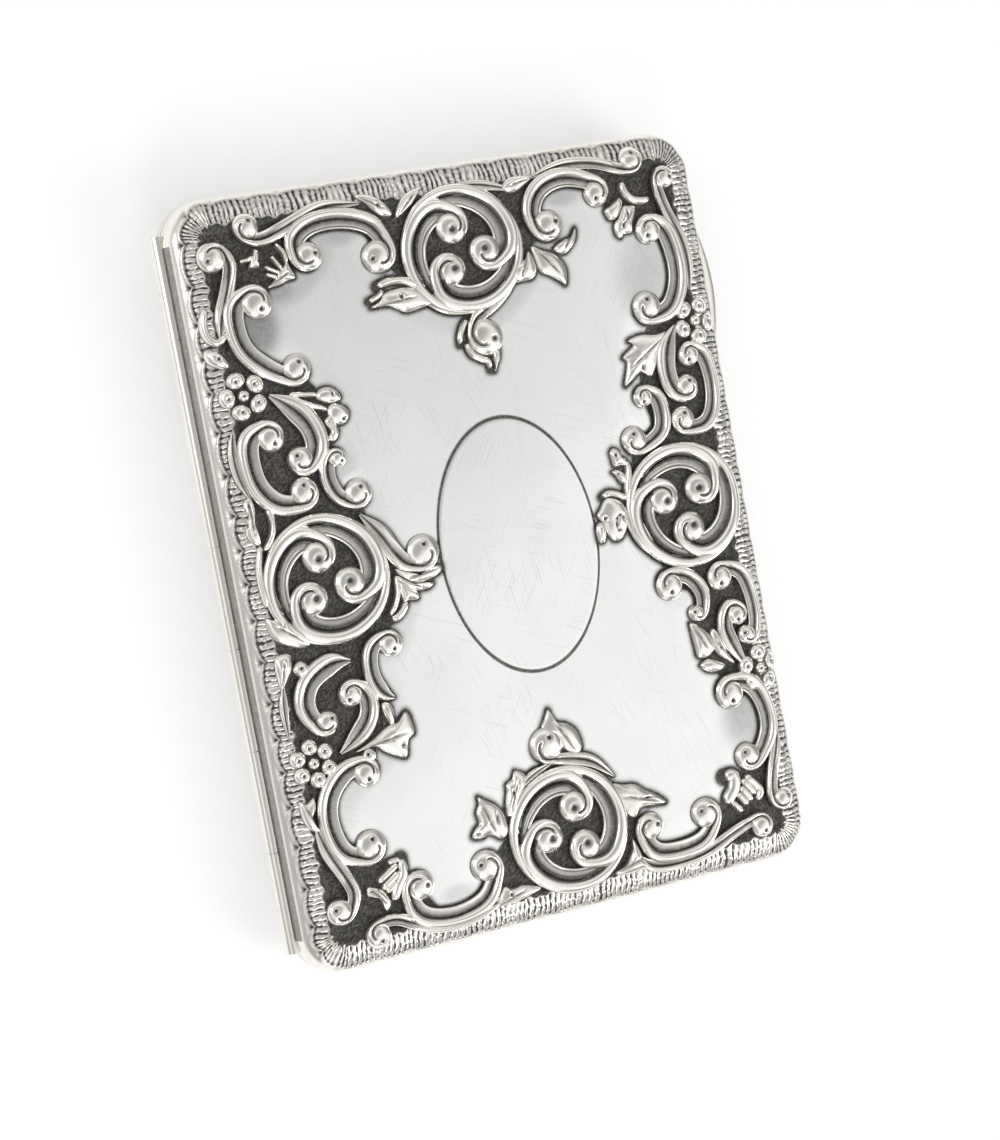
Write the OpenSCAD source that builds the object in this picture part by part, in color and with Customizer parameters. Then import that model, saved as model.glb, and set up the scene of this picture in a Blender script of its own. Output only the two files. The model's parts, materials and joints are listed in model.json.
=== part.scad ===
// Hinged silver aide memoire case: embossed front cover, plain back cover, knuckle joint,
// silk lining, pockets, a note pad under a strap and a pencil in two loops.
// It lies on its back cover. X runs across, with the joint on the left. Y runs up the
// front as it is read, and Z out of the front. The origin is under the middle of the case.

/* [Case] */
// Width of the covers, without the joint
case_w = 76.6; // [74.6:0.5:84.6]
// Height of the covers
case_h = 104.5; // [102:0.5:112]
// Depth of the back cover, from its flat back to the line where the covers meet
back_d = 5.8; // [5.6:0.1:6.4]
// Depth of the front cover, without the embossed work
front_d = 4.7; // [4.5:0.1:5]
// Thickness of the silver sheet
sheet = 0.7; // [0.6:0.05:0.8]
// Radius of the corners
corner_r = 6; // [5:0.5:8]
// Width of the rounded edge
crown_w = 4.5; // [4:0.1:5]
// Fall of the rounded edge
crown_h = 3.6; // [3.2:0.1:3.8]

/* [Embossing] */
// Height of the scrolls above the front
relief_h = 0.8; // [0.5:0.05:0.9]
// How far the ornament sits right of the middle
relief_x = 1.1; // [0:0.1:2]
// Radius of the four whorls
whorl_r = 7.7; // [7:0.1:8.2]
// Half width of the oval panel
oval_a = 11.5; // [9:0.5:13]
// Half height of the oval panel
oval_b = 17.5; // [14:0.5:20]

/* [Joint] */
// Outer radius of the knuckles
knuckle_r = 1.15; // [1.1:0.05:1.3]
// Radius of the joint pin
pin_r = 0.55; // [0.5:0.05:0.6]
// Number of knuckles along the joint
knuckles = 7; // [5:2:9]
// Height of the case that the joint leaves free, at both ends together
joint_free = 8; // [7.5:0.5:16]

/* [Contents] */
// Thickness of the silk lining
lining = 0.4; // [0.3:0.05:0.5]
// Width of the case that the note pad leaves free
pad_free_w = 26.6; // [26.6:0.5:33]
// Height of the case that the note pad leaves free
pad_free_h = 20.5; // [16.5:0.5:34.5]
// Thickness of the pad's leaves
leaves_t = 1.8; // [1:0.1:2]
// Radius of the pencil's barrel
pencil_r = 1.7; // [1.4:0.05:1.8]
// Length of the pencil's barrel
pencil_l = 52; // [44:0.5:54]

/* [Hidden] */
half_w = case_w / 2;
half_h = case_h / 2;
front_z = back_d + front_d;
inner_z = front_z - sheet;
joint_out = 0.15;
joint_x = -half_w - joint_out;
joint_l = case_h - joint_free;
joint_gap = 0.2;
run_gap = 0.05;
arc_steps = 6;

// Lining and contents, upwards from the inside of the back cover
lining_gap = 0.1;
edge_in = sheet + crown_w + lining_gap;
floor_z = sheet + lining;
board_t = 0.8;
pad_w = case_w - pad_free_w;
pad_h = case_h - pad_free_h;
strap_foot = 3;
pad_in = 1;
pad_x = -half_w + edge_in + strap_foot + pad_in + pad_w / 2;
pad_y = -1;
pad_z = floor_z + board_t;
pad_top = pad_z + leaves_t;
strap_w = 9;
strap_t = 0.3;
strap_up = 13;
strap_y = pad_y - pad_h / 2 + strap_up;
tape_w = 7;
tape_t = 0.15;
staple_l = 9;
staple_t = 0.12;
loop_t = 0.4;
loop_l = 6;
loop_in = 0.25;
loop_up = [4, 16];
loop_r = pencil_r + run_gap;
collar_l = 5;
finial_l = 3;
cone_l = 5;
lead_r = 0.45;
lead_l = 3 * lead_r;
tip_in = 0.6;
pencil_x = half_w - edge_in - loop_in - loop_t - loop_r;
pencil_y = -half_h + edge_in + tip_in + lead_l + cone_l;
pencil_z = floor_z + loop_t + loop_r;
pocket_t = 0.4;
pocket_free = 14.6;
pocket_w = case_w - pocket_free;
pocket_in = 0.95;
pocket_low = -half_h + edge_in + pocket_in;
pocket_h = 52;
pocket_top = pocket_low + pocket_h;
stamp_w = 34;
stamp_h = 32;
stamp_top = pocket_low + stamp_h;
ribbon_w = 2.5;
ribbon_t = 0.15;
bezel_t = 0.6;
bezel_gap = 0.25;
bezel_lap = 0.7;
bezel_low = 0.1;
bezel_up = front_d - crown_h - sheet + bezel_lap;
bezel_down = back_d - crown_h - sheet - bezel_low;
pip_r = 0.3;
pip_t = 0.1;

// Thumb lip on the opening edge of the front cover
lip_down = 22.25;
lip_y = half_h - lip_down;
lip_l = 17;
lip_out = 1.5;
lip_t = 1.5;

// Size of the case for which the ornament below is drawn; it follows the case from there
drawn_w = 76.6;
drawn_h = 104.5;
function put(p) = [p.x * case_w / drawn_w + relief_x, p.y * case_h / drawn_h];

// Scrolls, drawn on the front from the middle of the ornament. Each has a start, points on
// its way, an end and a half width. An end with four numbers is a curl: its centre, its
// radius, and 1 if it curls to the left going outwards or -1 if it curls to the right.
scrolls = [
  // Top, left of the whorl
  [[-28.9, 47.4, 1.6, -1], [[-27, 45.4], [-23, 46.8], [-18, 48.5]], [-12.8, 48.2], 0.8],
  [[-21.1, 42.4, 1.7, 1], [[-22.8, 44.8], [-20.3, 46.5], [-16, 46.7], [-11.8, 45.3]],
    [-11.6, 40.9, 2, -1], 1.15],
  // Top left corner
  [[-34.2, 44.1, 1.8, 1], [[-31.9, 42.8], [-33, 39.5], [-34.5, 36]], [-35, 33.4], 0.8],
  [[-29.3, 37.4, 1.9, -1], [[-32.5, 37.5], [-32.9, 34.5], [-32.2, 31.5], [-30, 29]],
    [-25.6, 28.1, 1.7, 1], 1.15],
  // Left side, above the whorl
  [[-30, 25.2], [[-27, 23], [-25.2, 20.5], [-24.7, 17.5]], [-27.4, 16.2, 1.6, -1], 1.35],
  [[-30.8, 19.7, 1.7, -1], [[-33.9, 20], [-34.4, 17], [-33.8, 13.5], [-31.5, 10.8]],
    [-27.7, 12, 1.7, 1], 1.2],
  [[-22.4, 15.5, 1.1, -1], [[-24, 15], [-24.2, 13], [-23.3, 10.5]], [-20.4, 10.5, 1.7, 1], 0.9],
  [[-35.6, 21.6], [[-36.3, 19], [-36.1, 15]], [-35, 12], 0.5],
  [[-34.8, 11], [[-33, 9.5], [-33, 7.5]], [-34.3, 6], 0.5],
  [[-20.5, 7.4], [[-18.5, 4.5], [-16.8, 1.2]], [-13.4, 1.2, 1.7, 1], 0.8],
  // Left side, below the whorl
  [[-25.8, -11.2], [[-28.5, -10.9], [-32, -12.8], [-33.2, -16]], [-30.5, -18.5, 1.4, 1], 1.2],
  [[-26.7, -15.6, 1.5, 1], [[-24.4, -16], [-24.6, -18.8], [-26.5, -21]], [-29.5, -23], 1.1],
  [[-19.9, -10.1, 1.5, -1], [[-22.8, -10.2], [-23.3, -13.5], [-22.3, -16.3]], [-20.7, -17.3], 0.9],
  [[-35.4, -12.5], [[-36, -15.5]], [-36, -19.8], 0.5],
  // Bottom left corner
  [[-26.5, -26.3, 1.6, -1], [[-29.7, -25.5], [-32.3, -28.3], [-32.9, -32], [-31.7, -36]],
    [-27.8, -35.9, 1.9, 1], 1.15],
  [[-34.8, -31.5], [[-34, -35], [-32.4, -38.5], [-31.2, -41.5]], [-33.7, -43.6, 1.6, -1], 0.8],
  // Bottom, left of the whorl
  [[-22.1, -42.7, 1.8, -1], [[-23.3, -46], [-21, -47.6], [-17, -48], [-13, -46.7]],
    [-12.4, -42.3, 1.9, 1], 1.15],
  [[-29, -47.9, 1.6, 1], [[-26, -46.3], [-23, -48], [-19, -49.1], [-14, -48.4]], [-9.5, -46.6], 0.7],
  // Bottom, right of the whorl
  [[12.5, -42.6, 1.7, -1], [[12.5, -46.3], [16, -47], [20, -46.4]], [21, -42.7, 1.9, 1], 1.1],
  [[9.6, -46], [[11.5, -48.1], [15, -48.7], [20, -48.3], [24.5, -46.5]], [29.4, -46.4, 1.5, -1], 0.7],
  // Bottom right corner
  [[34.5, -33], [[33.5, -36.5], [32.1, -40], [31.7, -43]], [33.4, -43.4, 1.4, 1], 0.7],
  [[28, -27.2, 1.9, 1], [[31.3, -26.2], [33, -29.5], [33, -33.5]], [29, -36.3, 1.7, -1], 1.15],
  // Right side, below the whorl
  [[29.6, -10.8, 1.7, 1], [[33, -10.6], [34, -14], [34.1, -17.5]], [32.2, -19.5, 1.2, -1], 0.95],
  [[31.5, -24], [[29.7, -20.5], [29, -17.5], [30.2, -15]], [31.3, -16.5, 1.3, -1], 0.95],
  [[21.8, -10.5, 1.8, 1], [[25, -9.8], [26.6, -12.5]], [25.1, -15, 1, -1], 0.95],
  // Right side, above the whorl
  [[22.9, 15.9, 1.2, 1], [[25, 15.8], [25.4, 13.5], [24.8, 10.8]], [20.5, 10.4, 1.7, -1], 1],
  [[30.9, 20.6, 1.4, 1], [[33.1, 20.6], [33.8, 17.5], [33.5, 13.5], [31.8, 10.8]],
    [28.4, 12, 1.6, -1], 1],
  [[29.7, 25], [[27.9, 22.5], [27.2, 19], [27.8, 16]], [29.9, 16.4, 1.5, 1], 1.1],
  [[18.4, 1.8], [[19, -1.5], [20, -4.5]], [22, -7.4], 0.6],
  // Top right corner
  [[28.2, 38.6, 1.7, 1], [[30.9, 38.2], [31.7, 34], [31.3, 30.5], [29.5, 27.5]],
    [26, 28.3, 1.9, -1], 1.2],
  [[31.9, 45.6, 1.4, -1], [[30.7, 44], [31.6, 40.5], [33, 37], [33.4, 33]], [32.9, 29.5], 0.65],
  // Top, right of the whorl
  [[13.6, 41.5, 1.9, 1], [[11.4, 44], [13.2, 46.7], [17, 47.7]], [21.4, 44.7, 1.6, -1], 1.15],
  [[12.2, 48.2], [[17, 49.3], [22, 48.9], [25.5, 47.5]], [27.6, 48.7, 1.6, 1], 0.7],
  [[0.5, 48.8], [[5, 48.2]], [9.3, 46.9], 0.6]
];

// Whorls: centre and turn of the first eye in degrees
whorls = [[0.5, 40.1, 108], [-26.9, 0, 101], [0.5, -40.3, 66], [26.3, 0.2, 35]];

// Flowers: centre and turn of the first petal in degrees
flowers = [[-33.4, 25.7, 120], [32.9, 25.2, 60], [-33.2, -23.6, 88], [34, -24.7, 15]];

// Leaves: centre and radius of the round end, then of the pointed end
leaves = [
  // Top
  [-9.3, 46.6, 0.9, -12.9, 49.1, 0.3], [-7, 47.2, 0.9, -3.8, 49, 0.3],
  [-7.5, 35.2, 1.5, -12.2, 37.2, 0.3], [-8.2, 34.8, 1.4, -13.9, 35.2, 0.25],
  [-6, 34, 0.9, -3, 32.2, 0.3], [9.2, 36.6, 1.3, 10.6, 38.2, 0.3], [9, 36, 1.2, 6, 34.3, 0.4],
  [11.3, 37.8, 1, 14.6, 33.6, 0.3], [12.2, 38, 0.8, 14.7, 36.8, 0.3],
  [15.2, 38.3, 0.6, 17.4, 40.1, 0.25], [1, 27.6, 2.4, 1.5, 23.9, 0.2],
  [8.8, 47.6, 0.9, 11.9, 48.1, 0.3],
  // Shells in the corners
  [-25.2, 40.6, 0.7, -27.6, 44.4, 0.35], [-25.4, 40.3, 0.7, -28.4, 42.7, 0.35],
  [-25.2, 40, 0.7, -27.8, 40.8, 0.35], [-25, 41.2, 0.6, -25.6, 44.2, 0.35],
  [-28.4, 43.6, 0.6, -30.8, 42.9, 0.3],
  [24.6, 40.4, 0.7, 25.7, 45.3, 0.3], [25, 40.5, 0.7, 27, 43.8, 0.35],
  [25.2, 40.3, 0.7, 28, 41.8, 0.35], [27.4, 43.2, 0.5, 29.5, 43.4, 0.3],
  [24.2, 40.2, 0.6, 24.3, 38.7, 0.3],
  [-25.6, -41.6, 0.7, -24.2, -38.8, 0.4], [-26.2, -41.4, 0.7, -26, -38.9, 0.35],
  [-26.5, -42, 0.7, -28, -40.3, 0.35], [-26.8, -43, 0.7, -29.2, -41.7, 0.35],
  [-26.6, -42.9, 0.6, -26.4, -44.2, 0.3],
  [25.8, -40.6, 0.8, 25.1, -38.4, 0.4], [27, -41, 0.8, 27.3, -39, 0.4],
  [27.8, -41.3, 0.8, 29.2, -39.6, 0.4], [28, -41.8, 0.8, 30.1, -42, 0.4],
  [26.4, -41.8, 0.7, 25, -43, 0.4],
  // Left side
  [-21.5, 24.2, 0.9, -27.5, 25.2, 0.25], [-21.2, 21.6, 1.1, -27, 24.8, 0.25],
  [-20.6, 20.5, 0.5, -19.7, 20.3, 0.2], [-22.5, 18.9, 0.7, -24, 22.3, 0.25],
  [-36, 11.2, 0.6, -35.6, 12.5, 0.3], [-36, 8.2, 0.6, -34.6, 6.8, 0.4],
  [-35.3, -4.2, 0.8, -32, -7.6, 0.3], [-33.9, -4.2, 0.7, -32.2, -6.5, 0.3],
  [-15.7, -3.2, 0.8, -11.4, -2.4, 0.25], [-16.2, -3.5, 0.7, -15, -4.9, 0.3],
  [-17.2, -4.5, 0.7, -18.6, -7, 0.3], [-17.6, -1.5, 0.7, -16.5, -3, 0.4],
  [-33.2, -11.1, 1, -36.2, -9.6, 0.4], [-34.5, -9.2, 0.7, -31, -9, 0.3],
  [-22.2, -18.2, 0.6, -21.4, -19.8, 0.3],
  [-21.5, -22.2, 1.5, -28.8, -23.6, 0.25], [-19.6, -20.8, 0.8, -18.7, -19.8, 0.2],
  [-20.4, -23.6, 0.8, -19.6, -24.6, 0.25], [-22.8, -23.9, 0.7, -21.6, -25.1, 0.25],
  [-25.4, -23.9, 0.7, -24.6, -24.4, 0.4],
  [-35.9, -29.2, 0.6, -36.4, -28.3, 0.3], [-34.6, -28.9, 0.8, -34.3, -28, 0.3],
  [-35.2, -31.4, 0.6, -34.4, -32.6, 0.3],
  // Bottom
  [-10, -47.3, 0.9, -13.2, -48.4, 0.3], [-9, -47, 0.9, -5.2, -47.3, 0.3],
  [-9.8, -46.6, 0.7, -10.3, -45.9, 0.3],
  [-10.2, -36.6, 1.6, -11, -33.1, 0.2], [-12.6, -37.6, 0.8, -14, -37.5, 0.3],
  [-9.8, -37.5, 1.2, -8.5, -40.5, 0.3], [-6.4, -32.8, 1.1, -7.7, -36.5, 0.4],
  [-5.8, -31.6, 0.7, -4.4, -31.7, 0.3],
  [0.6, -28, 2.5, 0.7, -23.9, 0.2], [2.8, -28, 1.4, 3.2, -26, 0.3],
  [10.2, -38.3, 1.7, 15.2, -39.5, 0.2], [8.6, -36.5, 1.1, 6.8, -33.5, 0.4],
  [12, -37.4, 0.8, 9.5, -36.2, 0.4],
  [9.5, -46.4, 0.8, 9.4, -44, 0.3], [9, -47.5, 0.8, 6.5, -47.8, 0.3],
  [10, -47.3, 0.7, 11.5, -48.4, 0.3],
  // Right side
  [25, -19.2, 1.3, 24, -16.7, 0.25], [26.2, -22.3, 1.2, 28.5, -22.6, 0.4],
  [27.3, -19.2, 1, 29.5, -21.8, 0.3],
  [15.5, -0.4, 2.4, 13, -2.4, 0.6], [15.2, 2.6, 1, 18, 2.3, 0.4], [13.6, 0.9, 0.9, 12.8, -1, 0.4],
  [17.3, 8.6, 0.8, 18.3, 4.6, 0.4], [18.4, 7.4, 0.6, 18.9, 8, 0.3], [17, 6.4, 0.5, 16.6, 6.6, 0.3],
  [22.7, 21.4, 1.6, 29.3, 25, 0.25], [22.4, 23.4, 0.9, 27, 24, 0.3],
  [21.4, 19.6, 0.9, 20.6, 17.6, 0.2], [24.6, 20, 1.1, 27.2, 22.3, 0.3]
];

// Distance of a point from the edge of the case, and the front's level there
function edge_gap(p) =
  let (q = [abs(p.x) - half_w + corner_r, abs(p.y) - half_h + corner_r])
  corner_r - norm([max(q.x, 0), max(q.y, 0)]) - min(max(q.x, q.y), 0);
function crown_fall(d) =
  d >= crown_w ? 0 : crown_h * (1 - sqrt(max(0, 1 - pow((crown_w - max(d, 0)) / crown_w, 2))));
function front_level(p) = front_z - crown_fall(edge_gap(p));

least_r = 0.6;

// Corner points of a rounded rectangle set in from the edge, at one height
function ring(inset, z) =
  let (r = max(corner_r - inset, least_r), x = half_w - inset - r, y = half_h - inset - r)
  [for (c = [[x, y, 0], [-x, y, 90], [-x, -y, 180], [x, -y, 270]], i = [0 : arc_steps])
    let (a = c[2] + 90 * i / arc_steps) [c.x + r * cos(a), c.y + r * sin(a), z]];

// Solid through a stack of rings
module loft(rings) {
  n = len(rings[0]);
  last = len(rings) - 1;
  polyhedron(
    points = [for (r = rings) each r],
    faces = concat(
      [[for (i = [0 : n - 1]) i]],
      [for (k = [0 : last - 1], i = [0 : n - 1])
        [k * n + i, (k + 1) * n + i, (k + 1) * n + (i + 1) % n, k * n + (i + 1) % n]],
      [[for (i = [n - 1 : -1 : 0]) last * n + i]]
    )
  );
}

// Level of the rounded edge at each step from the wall to the flat
crown_steps = 6;
function crown_ring(k, inset, base, up) =
  let (a = 90 * k / crown_steps)
  ring(crown_w - crown_w * cos(a) + inset, base + up * crown_h * sin(a));

// Shell of one cover. It rises from the meeting line by depth, upwards or downwards.
module cover_shell(depth, up) {
  spring = back_d + up * (depth - crown_h);
  open_end = back_d - up;
  outer = concat([ring(0, back_d)], [for (k = [0 : crown_steps]) crown_ring(k, 0, spring, up)]);
  inside = [for (k = [0 : crown_steps]) crown_ring(k, sheet, spring - up * sheet, up)];
  inner = concat([ring(sheet, open_end)], inside);
  difference() {
    if (up > 0) loft(outer); else mirror_stack(outer);
    if (up > 0) loft(inner); else mirror_stack(inner);
    joint_channel();
  }
}

// Stack of rings that runs downwards
module mirror_stack(rings) {
  loft([for (k = [len(rings) - 1 : -1 : 0]) rings[k]]);
}

// Clear way for the knuckles along the joint
module joint_channel() {
  translate([joint_x, 0, back_d]) rotate([90, 0, 0])
    cylinder(r = knuckle_r + joint_gap, h = joint_l + 2 * joint_gap, center = true, $fn = 96);
}

// Points of a curl, from where its scroll joins it inwards
curl_turn = 200;
curl_steps = 4;
curl_close = 0.25;
near_most = 0.96;
function curl(c, from) =
  let (
    away = [from.x - c.x, from.y - c.y],
    start = atan2(away.y, away.x) + c[3] * acos(min(near_most, c[2] / norm(away)))
  )
  [for (i = [0 : curl_steps])
    let (t = i / curl_steps)
    polar([c.x, c.y], c[2] * (1 - curl_close * t), start + c[3] * curl_turn * t)];
function turned(list) = [for (i = [len(list) - 1 : -1 : 0]) list[i]];
function scroll_end(e, from) = len(e) > 2 ? curl(e, from) : [e];
function scroll_path(s) =
  concat(turned(scroll_end(s[0], s[1][0])), s[1], scroll_end(s[2], s[1][len(s[1]) - 1]));

// Smooth curve through points
function bend(a, b, c, d, t) =
  b + 0.5 * t * (c - a + t * (2 * a - 5 * b + 4 * c - d + t * (3 * (b - c) + d - a)));
curve_steps = 1;
function smooth(p) =
  let (n = len(p))
  concat([for (i = [0 : n - 2], k = [0 : curve_steps - 1])
    bend(p[max(i - 1, 0)], p[i], p[i + 1], p[min(i + 2, n - 1)], k / curve_steps)], [p[n - 1]]);

// Raised band along a path: full in the middle, narrower at both ends
sunk = 0.35;
module band(path, half, high) {
  line = [for (p = path) put(p)];
  n = len(line);
  rings = [for (i = [0 : n - 1])
    let (
      way = line[min(i + 1, n - 1)] - line[max(i - 1, 0)],
      side = [-way.y, way.x] / norm(way),
      full = sqrt(max(0.12, sin(180 * i / (n - 1)))),
      w = half * full
    )
    [for (k = [[1, 0], [0.1, 1], [-1, 0]])
      let (q = line[i] + side * w * k[0])
      [q.x, q.y, front_level(q) - sunk + k[1] * (sunk + high * full)]]];
  polyhedron(
    points = [for (r = rings) each r],
    faces = concat(
      [[0, 1, 2]],
      [for (i = [0 : n - 2], k = [0 : 2])
        [3 * i + k, 3 * i + 3 + k, 3 * i + 3 + (k + 1) % 3, 3 * i + (k + 1) % 3]],
      [[for (k = [2 : -1 : 0]) 3 * (n - 1) + k]]
    )
  );
}

// Low dome on the front
boss_top = 0.55;
module boss(p, r, high) {
  q = put(p);
  translate([q.x, q.y, front_level(q) - sunk])
    cylinder(r1 = r, r2 = boss_top * r, h = sunk + high, $fn = 6);
}

curl_boss = 0.7;
module scroll(s) {
  band(smooth(scroll_path(s)), s[3], relief_h);
  for (e = [s[0], s[2]])
    if (len(e) > 2) boss(e, curl_boss * e[2], relief_h);
}

// Three arms that turn inwards to an eye, inside a ring
arm = [[100, 1], [64, 0.97], [28, 0.95], [-6, 0.86], [-36, 0.66], [-46, 0.4]];
arm_half = 1;
eye_out = 0.44;
eye_r = 1.8;
ring_out = 0.4;
ring_half = 0.5;
ring_high = 0.8;
ring_turn = 22.5;
ring_steps = 8;
function polar(c, r, a) = c + r * [cos(a), sin(a)];
module whorl(w) {
  c = [w[0], w[1]];
  for (turn = [0, 120, 240]) {
    path = [for (s = arm) polar(c, whorl_r * s[1], w[2] + turn + s[0])];
    band(smooth(path), arm_half, relief_h);
    boss(polar(c, eye_out * whorl_r, w[2] + turn), eye_r, relief_h);
  }
  for (start = [0, 180]) {
    path = [for (i = [0 : ring_steps]) polar(c, whorl_r + ring_out, start + ring_turn * i)];
    band(path, ring_half, ring_high * relief_h);
  }
}

// Five petals round a bead
bead_r = 0.8;
petals = 5;
petal_out = 2.1;
petal_r = 1.15;
module flower(f) {
  c = [f[0], f[1]];
  boss(c, bead_r, relief_h);
  for (i = [0 : petals - 1])
    boss(polar(c, petal_out, f[2] + 360 * i / petals), petal_r, relief_h);
}

round_high = 0.8;
point_high = 0.5;
module leaf(l) {
  hull() {
    boss([l[0], l[1]], l[2], round_high * relief_h);
    boss([l[3], l[4]], l[5], point_high * relief_h);
  }
}

// Lens-shaped lip for the thumb, on the front cover's opening edge
module thumb_lip() {
  r = (lip_l * lip_l / 4 + lip_out * lip_out) / (2 * lip_out);
  intersection() {
    translate([half_w + lip_out - r, lip_y, back_d + joint_gap]) cylinder(r = r, h = lip_t, $fn = 96);
    translate([half_w - sheet / 2, lip_y - lip_l, back_d]) cube([2 * lip_out, 2 * lip_l, 2 * lip_t]);
  }
}

// Plain oval panel in the middle of the front, a little proud of it
oval_x = 0.95;
oval_y = -0.6;
oval_h = 0.1;
module oval_panel() {
  q = put([oval_x, oval_y]);
  translate([q.x, q.y, front_z - sunk]) scale([oval_a, oval_b, 1])
    cylinder(r = 1, h = sunk + oval_h, $fn = 48);
}

module front_cover() {
  color("silver") {
    cover_shell(front_d, 1);
    thumb_lip();
    oval_panel();
    for (s = scrolls) scroll(s);
    for (w = whorls) whorl(w);
    for (f = flowers) flower(f);
    for (l = leaves) leaf(l);
  }
}

module back_cover() {
  color("silver") cover_shell(back_d, -1);
}

// Distance in from the outline to a cover's inner face, at a height from the meeting line
function inner_inset(depth, h) =
  let (rise = max(0, h - (depth - crown_h - sheet)))
  sheet + crown_w * (1 - sqrt(1 - pow(rise / crown_h, 2)));

// Strip inside a cover along the joint, hollowed for the knuckles
bearer_w = 2.6;
bearer_t = 2;
bearer_l = case_h - 2 * corner_r;
module bearer(depth, up) {
  low = run_gap;
  mid = depth - crown_h - sheet;
  top = run_gap + bearer_t;
  x0 = -half_w + sheet;
  x1 = -half_w + inner_inset(depth, top) + run_gap;
  difference() {
    translate([0, bearer_l / 2, back_d]) rotate([90, 0, 0]) linear_extrude(bearer_l) polygon([
      [x0, up * low], [x0, up * min(mid, top)], [x1, up * top],
      [x0 + bearer_w, up * top], [x0 + bearer_w, up * low]
    ]);
    joint_channel();
  }
}

module front_joint_bearer() {
  color("silver") bearer(front_d, 1);
}

module back_joint_bearer() {
  color("silver") bearer(back_d, -1);
}

// Every second knuckle of the joint, each with a foot that fills its bearer's hollow
pitch = joint_l / knuckles;
foot_r = knuckle_r + joint_gap;
module knuckle_set(first, up, bore) {
  for (i = [first : 2 : knuckles - 1])
    translate([joint_x, -joint_l / 2 + pitch * (i + 0.5), back_d])
      difference() {
        union() {
          rotate([90, 0, 0]) cylinder(r = knuckle_r, h = pitch - 2 * run_gap, center = true, $fn = 48);
          intersection() {
            rotate([90, 0, 0]) cylinder(r = foot_r, h = pitch - 2 * run_gap, center = true, $fn = 48);
            translate([0.5 * knuckle_r, -pitch / 2, up > 0 ? run_gap : -run_gap - foot_r])
              cube([foot_r, pitch, foot_r]);
          }
        }
        rotate([90, 0, 0]) cylinder(r = bore, h = pitch, center = true, $fn = 48);
      }
}

module front_knuckles() {
  color("silver") knuckle_set(1, 1, pin_r + run_gap);
}

module back_knuckles() {
  color("silver") knuckle_set(0, -1, pin_r);
}

module hinge_pin() {
  color("gainsboro") translate([joint_x, 0, back_d]) rotate([90, 0, 0])
    cylinder(r = pin_r, h = joint_l - 2 * run_gap, center = true, $fn = 48);
}

// Flat slab with the case's rounded outline, set in from its edge
module slab(inset, z, t) {
  translate([0, 0, z]) linear_extrude(t) polygon([for (p = ring(inset, 0)) [p.x, p.y]]);
}

// Flange inside three sides of the back cover, which the front cover closes over
module bezel() {
  color("silver") difference() {
    union() {
      slab(sheet, back_d - bezel_down, bezel_down - run_gap);
      slab(sheet + bezel_gap, back_d - bezel_down, bezel_down + bezel_up);
    }
    slab(sheet + bezel_t, 0, front_z);
    translate([-half_w - 1, -half_h, 0]) cube([2 * corner_r, case_h, front_z]);
  }
}

// Small raised pips on the flange that hold the front cover shut
module bezel_pips() {
  color("silver") for (y = [-half_h / 2, half_h / 2])
    translate([half_w - sheet - bezel_gap, y, back_d + bezel_up / 2]) rotate([0, 90, 0])
      cylinder(r = pip_r, h = pip_t, $fn = 24);
}

module front_lining() {
  color("darkslateblue") slab(edge_in, inner_z - lining, lining);
}

module back_lining() {
  color("darkslateblue") slab(edge_in, sheet, lining);
}

// Flat panel of silk, sewn to the front lining or to the panel before it
module panel(w, low, top, layer) {
  translate([-w / 2, low, inner_z - lining - layer * pocket_t]) cube([w, top - low, pocket_t]);
}

module front_pocket() {
  color("slateblue") panel(pocket_w, pocket_low, pocket_top, 1);
}

module stamp_pocket() {
  color("slateblue") panel(stamp_w, pocket_low, stamp_top, 2);
}

// Ribbon along the mouth of the large pocket
module pocket_ribbon() {
  color("lightsteelblue")
    translate([-pocket_w / 2, pocket_top - ribbon_w, inner_z - lining - pocket_t - ribbon_t])
      cube([pocket_w, ribbon_w, ribbon_t]);
}

// Strap over the foot of the pad, sewn down at both ends
module pad_strap() {
  side = pad_w / 2 + run_gap;
  color("saddlebrown") translate([pad_x, strap_y + strap_w / 2, 0]) rotate([90, 0, 0])
    linear_extrude(strap_w) polygon([
      [-side - strap_foot, floor_z], [-side, floor_z], [-side, pad_top], [side, pad_top],
      [side, floor_z], [side + strap_foot, floor_z], [side + strap_foot, floor_z + strap_t],
      [side + strap_t, floor_z + strap_t], [side + strap_t, pad_top + strap_t],
      [-side - strap_t, pad_top + strap_t], [-side - strap_t, floor_z + strap_t],
      [-side - strap_foot, floor_z + strap_t]
    ]);
}

// One layer of the pad
module pad_layer(z, t) {
  translate([pad_x - pad_w / 2, pad_y - pad_h / 2, z]) cube([pad_w, pad_h, t]);
}

module notepad_board() {
  color("tan") pad_layer(floor_z, board_t);
}

module notepad_leaves() {
  color("ivory") pad_layer(pad_z, leaves_t);
}

// Cloth tape over the pad's bound edge
module notepad_tape() {
  head = pad_y + pad_h / 2;
  color("midnightblue") translate([pad_x + pad_w / 2, 0, 0]) rotate([90, 0, -90])
    linear_extrude(pad_w) polygon([
      [-head - tape_t, floor_z], [-head, floor_z], [-head, pad_top], [tape_w - head, pad_top],
      [tape_w - head, pad_top + tape_t], [-head - tape_t, pad_top + tape_t]
    ]);
}

module notepad_staples() {
  color("silver") for (x = [-pad_w / 4, pad_w / 4])
    translate([pad_x + x - staple_l / 2, pad_y + (pad_h - tape_w) / 2, pad_top + tape_t])
      cube([staple_l, 3 * staple_t, staple_t]);
}

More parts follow.
